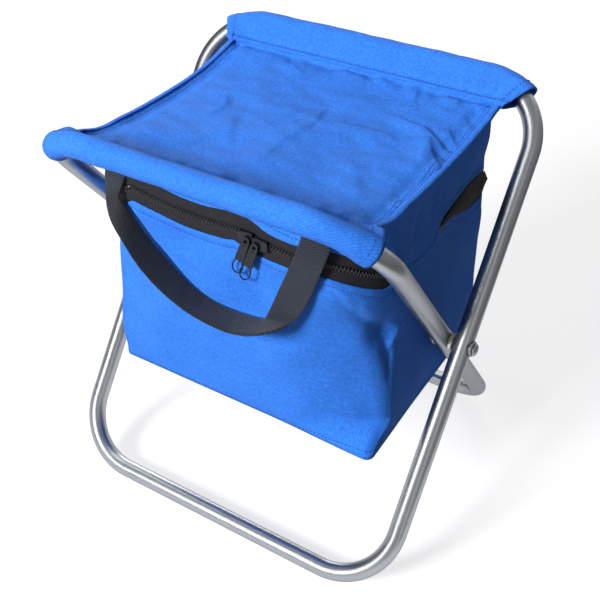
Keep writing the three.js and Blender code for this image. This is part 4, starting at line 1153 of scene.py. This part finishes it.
def coil(name, node, up):
    runs = run_rows(0.016, 4.984, COIL_PITCH / 14)
    phase = np.arange(len(runs)) / 14 * TAU + (0 if up > 0 else math.pi)
    across = zip_height(runs) + up * (0.95 - 1.35 * np.cos(phase))
    depth = 0.25 - 0.95 * np.sin(phase)
    ahead = 0.18 * np.sin(2 * phase) / 100
    path, normal = wall(np.clip(runs + ahead, 0, 4.99), across, depth)
    tangent = unit(np.gradient(path, axis=0))
    side = unit(np.cross(tangent, normal))
    out = np.cross(side, tangent)
    ring = round_rings(path, side, out, COIL_WIRE / 2, 7)
    return dress(grid(name, ring, "coil_nylon", close_v=True), "cooler_bag", "coil_nylon", node)


coil("zip_coil_upper_teeth", "zip_coil_upper", 1)
coil("zip_coil_lower_teeth", "zip_coil_lower", -1)


def flat_piece(name, outlines, depth, bevel):
    """A plate from closed outlines in x and z, the first outside and the rest holes, with rounded edges."""
    curve = bpy.data.curves.new(name, "CURVE")
    curve.dimensions = "2D"
    curve.fill_mode = "BOTH"
    curve.extrude = (depth / 2 - bevel) * MM
    curve.bevel_depth = bevel * MM
    curve.bevel_resolution = 2
    for points in outlines:
        spline = curve.splines.new("POLY")
        spline.points.add(len(points) - 1)
        for point, (x, z) in zip(spline.points, points):
            point.co = (x * MM, z * MM, 0, 1)
        spline.use_cyclic_u = True
    thing = bpy.data.objects.new(name, curve)
    bpy.context.scene.collection.objects.link(thing)
    mesh = bpy.data.meshes.new_from_object(thing.evaluated_get(bpy.context.evaluated_depsgraph_get()))
    bpy.data.objects.remove(thing)
    mesh.transform(Matrix.Rotation(math.pi / 2, 4, "X"))
    return mesh


def rounded(points, radius, count=5):
    """A polygon whose corners are rounded."""
    points = np.asarray(points, float)
    out = []
    for before, here, after in zip(np.roll(points, 1, 0), points, np.roll(points, -1, 0)):
        to_before, to_after = unit(before - here), unit(after - here)
        for share in np.linspace(0, 1, count):
            a, b = here + to_before * radius * (1 - share), here + to_after * radius * share
            out.append(tuple(lerp(a, b, share)))
    return out


def rectangle(half, low, high, radius):
    return rounded([(-half, low), (half, low), (half, high), (-half, high)], radius)


def merged(name, parts, place):
    """One mesh piece from several meshes, each moved by its own matrix, then by place in millimetres."""
    points, faces, base = [], [], 0
    for mesh, matrix in parts:
        co = np.array([matrix @ v.co for v in mesh.vertices])
        points.append(co / MM + np.asarray(place))
        faces += [[i + base for i in p.vertices] for p in mesh.polygons]
        base += len(co)
    mesh = bpy.data.meshes.new(name)
    mesh.from_pydata((np.vstack(points) * MM).tolist(), [], faces)
    mesh.shade_smooth()
    mesh.materials.append(looks["zip_metal"])
    thing = bpy.data.objects.new(name, mesh)
    bpy.context.scene.collection.objects.link(thing)
    return thing


def moved(x, y, z):
    return Matrix.Translation((x * MM, y * MM, z * MM))


def rod(path, radius, sides=10, closed=False):
    """A mesh tube along a path of points in millimetres."""
    path = np.asarray(path, float)
    tangent = unit(np.roll(path, -1, 0) - np.roll(path, 1, 0)) if closed else unit(np.gradient(path, axis=0))
    helper = np.array([0.02, 1, 0.03])
    side = unit(np.cross(tangent, helper))
    out = np.cross(side, tangent)
    ring = round_rings(path, side, out, radius, sides)
    nu = len(path)
    faces = []
    for i in range(nu if closed else nu - 1):
        here, ahead = i * sides, (i + 1) % nu * sides
        for j in range(sides):
            k = (j + 1) % sides
            faces.append([here + j, ahead + j, ahead + k, here + k])
    if not closed:
        faces += [list(range(sides))[::-1], [(nu - 1) * sides + j for j in range(sides)]]
    mesh = bpy.data.meshes.new("rod")
    mesh.from_pydata((ring.reshape(-1, 3) * MM).tolist(), [], faces)
    return mesh


for side, to_left in (("left", -1), ("right", 1)):
    x = SLIDERS_X + to_left * (SLIDER_LENGTH + 0.6) / 2
    run = 2.5 + x / 144
    z = float(zip_height(run))
    nose, tail = -to_left * 6.0, to_left * 6.0
    outline_points = [(nose, -4.4), (nose, 4.4), (nose / 3, 4.4), (tail, 3.7), (tail, -3.7), (nose / 3, -4.4)]
    body_line = rounded(outline_points, 1.2)
    top = flat_piece("top", [body_line], 1.5, 0.5)
    base = flat_piece("base", [body_line], 1.2, 0.4)
    lip_turn = Matrix.Rotation(math.pi / 2, 4, "X")
    lips = []
    for up in (-1, 1):
        lip = flat_piece("lip", [rectangle(5.6, -1.1, 1.1, 0.4)], 0.9, 0.3)
        lips.append((lip, moved(0, ZIP_FACE - 1.2, up * 3.7) @ lip_turn))
    arch = []
    for s, t in zip(np.linspace(-1, 1, 15), np.linspace(0, 1, 15)):
        arch.append((-to_left * BAIL_FORWARD + s * 2.7, ZIP_FACE - 2.4 - 2.6 * math.sin(math.pi * t), 0))
    bridge = rod(arch, 0.75)
    parts = [(top, moved(0, ZIP_FACE - 2.2, 0)), (base, moved(0, ZIP_FACE + 2.6, 0)), *lips,
             (bridge, Matrix.Identity(4))]
    slider = merged(f"zip_slider_{side}_body", parts, (x, 0, z))
    dress(slider, f"slider_{side}", "zip_metal", f"zip_slider_{side}")

    hinge = -to_left * BAIL_FORWARD
    tab_line = rounded([(-2.0, 1.8), (2.0, 1.8), (3.0, -2.6), (3.6, -22.0), (-3.6, -22.0), (-3.0, -2.6)], 0.9)
    eye = rounded([(-1.3, 0.5), (1.3, 0.5), (1.8, -3.8), (-1.8, -3.8)], 0.7)
    window = rectangle(1.2, -5.2, -6.6, 0.4)
    slot_hole = rectangle(2.2, -19.6, -20.9, 0.5)
    tab = flat_piece("tab", [tab_line, eye, window, slot_hole], 1.4, 0.4)
    turn = np.linspace(0, TAU, 48, endpoint=False)
    loop = [(4.2 * math.sin(t) * (1 - 0.16 * math.cos(t)), -0.7 * to_left * (1 - math.cos(t)) / 2,
             -27.7 + 7.4 * math.cos(t)) for t in turn]
    wire = rod(loop, 0.6, closed=True)
    lean = Matrix.Rotation(math.radians(20), 4, "Y")
    pull = merged(f"zip_pull_{side}_tab", [(tab, lean), (wire, lean)], (x + hinge, BAIL_Y + 0.1, z))
    dress(pull, f"pull_{side}", "zip_metal", f"zip_pull_{side}")

# Tails of the tape over the zip's ends: black tape, darkened further to near black with painted shade

for side, sign in (("left", -1), ("right", 1)):
    y = np.linspace(9.0, 99.8, 60)
    upper = np.interp(y, [9, 16, 33, 57, 78, 90, 95, 99.8],
                      [285.0, 288.2, 293.9, 296.4, 295.6, 293.5, 290.5, 283.5])
    lower = np.interp(y, [9, 20, 31, 50, 67, 93, 99.8], [284.6, 283.4, 281.4, 275.0, 270.5, 269.8, 279.0])
    across = np.linspace(0, 1, 17)
    a = ((y - 9) / 90.8)[:, None] * np.ones(17)
    z = upper[:, None] + (lower - upper)[:, None] * across
    belly = np.sin(across * math.pi)[None]
    x = BAG_ASIDE + sign * (ZIP_LINE[0] + 0.5 + 1.1 * smooth(a, 0, 0.25) * belly - 0.4 * smooth(a, 0.85, 1)
                + 0.25 * ripples(y[:, None] + 0 * z, z, 20, 105))
    points = np.stack([x, y[:, None] + 0 * z, z], 2)
    tail = thicken(grid(f"zip_tail_{side}", points, "dark_tape_painted_shade", flip=sign > 0), 0.7)
    dress(tail, "cooler_bag", "black_webbing", f"zip_end_tab_{side}")

# Carry handle of webbing, and its sewn ends

def run_at(x, z):
    run = 2.5
    for _ in range(6):
        zip_z = float(zip_height(run))
        share = np.clip((z - zip_z - HEM) / (SKIRT_TOP - zip_z - HEM), 0, 1)
        half, corner = lerp(ZIP_LINE[0], LID_LINE[0], share), lerp(ZIP_LINE[2], LID_LINE[2], share)
        straight = half - corner
        turned = math.asin(min(1, max(0, (abs(x) - straight) / corner))) / (math.pi / 2)
        run = 2.5 + math.copysign(min(1, abs(x) / straight) / 2 + turned, x)
    return run


anchor_lines = []
for side, sign in (("left", -1), ("right", 1)):
    xs, zs = np.linspace(-WEBBING / 2, WEBBING / 2, 14), np.linspace(ANCHOR_TOP, ANCHOR_BOTTOM, 10)
    points, outs = [], []
    for z in zs:
        row = [wall(run_at(sign * HANDLE_HALF + x, z), z, -0.3 - WEBBING_CLOTH) for x in xs]
        points.append([p for p, _ in row])
        outs.append([n for _, n in row])
    points, outs = np.array(points), np.array(outs)
    patch = thicken(grid(f"handle_end_{side}", points, "black_webbing", flip=True), WEBBING_CLOTH)
    dress(patch, "cooler_bag", "black_webbing", f"handle_anchor_{side}")
    picks = [(1, 1, 1, 12), (8, 1, 8, 12), (1, 1, 8, 1), (1, 12, 8, 12), (1, 1, 8, 12), (8, 1, 1, 12)]
    for r0, c0, r1, c1 in picks:
        shares = np.linspace(0, 1, 12)
        path = np.array([points[round(lerp(r0, r1, s)), round(lerp(c0, c1, s))] for s in shares])
        anchor_lines.append((path, outs[4, 6]))
dress(stitches("handle_end_stitches", anchor_lines, "coil_nylon"), "cooler_bag", "black_webbing")

# The webbing's two edges: pixels read in the photo, carried to chosen depths, then adjusted
HANDLE_INNER = [
    (-77.5, -107.4, 333.0), (-80.1, -111.5, 325.3), (-82.8, -113.0, 317.8), (-86.1, -113.5, 310.5),
    (-86.8, -114.0, 308.0), (-83.9, -114.5, 305.5), (-80.7, -114.5, 302.0), (-75.5, -114.0, 295.0),
    (-67.9, -113.6, 285.0), (-60.0, -113.4, 275.6), (-49.8, -113.2, 266.1), (-39.3, -113.2, 257.5),
    (-24.1, -113.2, 246.6), (-12.2, -113.2, 241.2), (-0.2, -113.2, 238.4), (9.7, -113.2, 237.4),
    (19.6, -113.2, 237.2), (32.5, -113.2, 238.6), (43.6, -113.2, 240.6), (45.5, -113.2, 241.8),
    (47.1, -113.2, 244.7), (49.2, -113.2, 249.8), (53.8, -113.2, 261.7), (60.3, -113.2, 278.3),
    (65.1, -113.2, 290.6), (69.7, -113.0, 302.3), (74.0, -112.6, 314.5), (76.5, -111.0, 323.3),
    (77.0, -107.4, 333.0),
]
HANDLE_OUTER = [
    (-102.0, -106.0, 333.0), (-101.8, -109.5, 322.5), (-103.6, -109.5, 309.6), (-104.5, -110.5, 294.3),
    (-100.2, -114.0, 286.5), (-92.2, -120.0, 284.8), (-82.9, -125.5, 282.3), (-73.0, -130.0, 277.4),
    (-63.4, -133.0, 269.7), (-54.1, -134.5, 262.1), (-42.8, -135.5, 254.4), (-30.8, -136.0, 247.6),
    (-14.1, -136.3, 240.8), (-2.2, -136.4, 238.0), (8.6, -136.4, 236.6), (18.4, -136.4, 236.0),
    (28.1, -136.4, 236.3), (42.4, -136.0, 239.6), (55.7, -134.5, 245.2), (64.5, -128.0, 248.0),
    (70.1, -119.5, 250.2), (74.6, -115.0, 254.0), (79.5, -114.0, 263.4), (85.7, -113.8, 277.3),
    (89.9, -114.0, 288.5), (93.7, -114.0, 299.2), (97.6, -113.6, 311.3), (100.7, -112.0, 322.0),
    (101.5, -107.0, 333.0),
]


def handle_sections():
    """Cross-sections of the hanging webbing between its two edges, which twist to lie level at the bottom."""
    edges = np.hstack([HANDLE_INNER, HANDLE_OUTER])
    middle = (edges[:, :3] + edges[:, 3:]) / 2
    along = np.concatenate([[0], np.cumsum(np.linalg.norm(np.diff(middle, axis=0), axis=1) + 1)])
    fine = np.linspace(0, along[-1], 240)
    edges = np.stack([np.interp(fine, along, edges[:, k]) for k in range(6)], 1)
    kernel = np.hanning(9) / np.hanning(9).sum()
    padded = np.vstack([np.repeat(edges[:1], 4, 0), edges, np.repeat(edges[-1:], 4, 0)])
    edges = np.stack([np.convolve(padded[:, k], kernel, "valid") for k in range(6)], 1)
    inner, outer = edges[:, :3], edges[:, 3:]
    across = unit(outer - inner)
    face = unit(np.cross(np.gradient((inner + outer) / 2, axis=0), across))
    section = [(0, 0), (0.01, -0.7), (0.05, -0.9)] + [(a, -0.9) for a in np.linspace(0.2, 0.8, 6)]
    section += [(0.95, -0.9), (0.99, -0.7), (1, 0), (0.99, 0.7), (0.95, 0.9)]
    section += [(a, 0.9) for a in np.linspace(0.8, 0.2, 6)] + [(0.05, 0.9), (0.01, 0.7)]
    return np.stack([inner + (outer - inner) * a + face * b for a, b in section], 1)


handle = grid("carry_handle_webbing", handle_sections(), "black_strap_painted_shade", close_v=True)
dress(handle, "handle", "black_webbing", "carry_handle")

# Floor, lamps and white background

def viewing_rays(tree):
    """1 for the rays that look at the studio, and 0 for those that only light it."""
    paths = add(tree, "LightPath").outputs
    bent = calc(tree, "MAXIMUM", paths["Is Glossy Ray"], paths["Is Transmission Ray"])
    return calc(tree, "MAXIMUM", paths["Is Camera Ray"], bent)


def stage_look():
    look, tree, shader = new_look("studio_floor", Roughness=0.9, Specular_IOR_Level=0.1)
    place = add(tree, "TexCoord").outputs["Object"]
    tone = remap(tree, noise(tree, place, 3, 3), 0.3, 0.7, 0.98, 1.0)
    base = grey(tree, tone)
    pale = mixed(tree, 1.0, base, linear(150, 150, 152), "MULTIPLY")
    tree.links.new(pale, shader.inputs["Base Color"])
    seen = viewing_rays(tree)
    shader.inputs["Emission Color"].default_value = (1, 1, 1, 1)
    tree.links.new(calc(tree, "MULTIPLY", seen, 0.74), shader.inputs["Emission Strength"])
    return look


looks["studio_floor"] = stage_look()
ground = link_mesh("floor", [(-6000, -6000, 0), (6000, -6000, 0), (6000, 6000, 0), (-6000, 6000, 0)],
                   np.array([[0, 1, 2, 3]]), "studio_floor")

world = bpy.data.worlds.new("studio")
bpy.context.scene.world = world
world.use_nodes = True
tree = world.node_tree
tree.nodes.clear()
strength = remap(tree, viewing_rays(tree), 0.0, 1.0, 0.10, 1.0)
background = add(tree, "Background", (1, 1, 1, 1), strength)
out = tree.nodes.new("ShaderNodeOutputWorld")
tree.links.new(background.outputs[0], out.inputs[0])


def lamp(name, place, target, size, power):
    light = bpy.data.lights.new(name, "AREA")
    light.shape = "RECTANGLE"
    light.size, light.size_y = size
    light.energy = power
    thing = bpy.data.objects.new(name, light)
    bpy.context.scene.collection.objects.link(thing)
    direction = np.array(target, float) - np.array(place, float)
    back = -direction / np.linalg.norm(direction)
    right = np.cross((0, 0, 1), back)
    right /= np.linalg.norm(right)
    up = np.cross(back, right)
    thing.matrix_world = axes_matrix(right, up, back, place)
    return thing


key = lamp("key", (-1.0, -2.65, 1.8), (0, 0, 0.2), (0.9, 0.9), 180)
key.visible_glossy = False
lamp("top", (-0.7, 0.4, 2.6), (0, 0, 0.3), (1.6, 1.6), 17)
lamp("back", (-1.6, 2.2, 1.0), (0, 0, 0.2), (1.4, 1.2), 22)


def oblong(low, high):
    """Corners of a rectangle that lies square to the axes, from two opposite ones."""
    first, second = [k for k in range(3) if low[k] != high[k]]
    corners = np.array([low] * 4, float)
    corners[1:3, first] = high[first]
    corners[2:, second] = high[second]
    return corners


def flag(name, brightness, corners):
    """A grey studio flag that only reflections see."""
    looks[name], _, _ = new_look(
        f"{name}_grey", Base_Color=(0, 0, 0, 1), Roughness=1.0, Emission_Color=(1, 1, 1, 1),
        Emission_Strength=brightness, Specular_IOR_Level=0.0)
    panel = link_mesh(name, corners, np.array([[0, 1, 2, 3]]), name)
    panel.visible_camera = panel.visible_diffuse = panel.visible_shadow = False
    panel.visible_transmission = panel.visible_volume_scatter = False


PANEL_HALF = 0.75  # metres
square = ((-1, -1), (1, -1), (1, 1), (-1, 1))
corners = [list(key.matrix_world @ Vector((PANEL_HALF * a, PANEL_HALF * b, 0)) / MM) for a, b in square]
flag("key_panel", 6.3, corners)
for name, brightness, low, high in (
    ("flag_low", 0.18, (450, -1500, 5), (2300, 4200, 5)),
    ("flag_right", 0.30, (2300, -1500, -200), (2300, 4200, 2600)),
    ("flag_left", 0.10, (-2400, -3200, -200), (-2400, 3400, 2600)),
    ("flag_front", 0.34, (-3600, -4200, -200), (3600, -4200, 4600)),
    ("flag_top", 0.30, (-3600, -4200, 4600), (3600, 3400, 4600)),
):
    flag(name, brightness, oblong(low, high))

bpy.context.scene.view_settings.view_transform = "Standard"
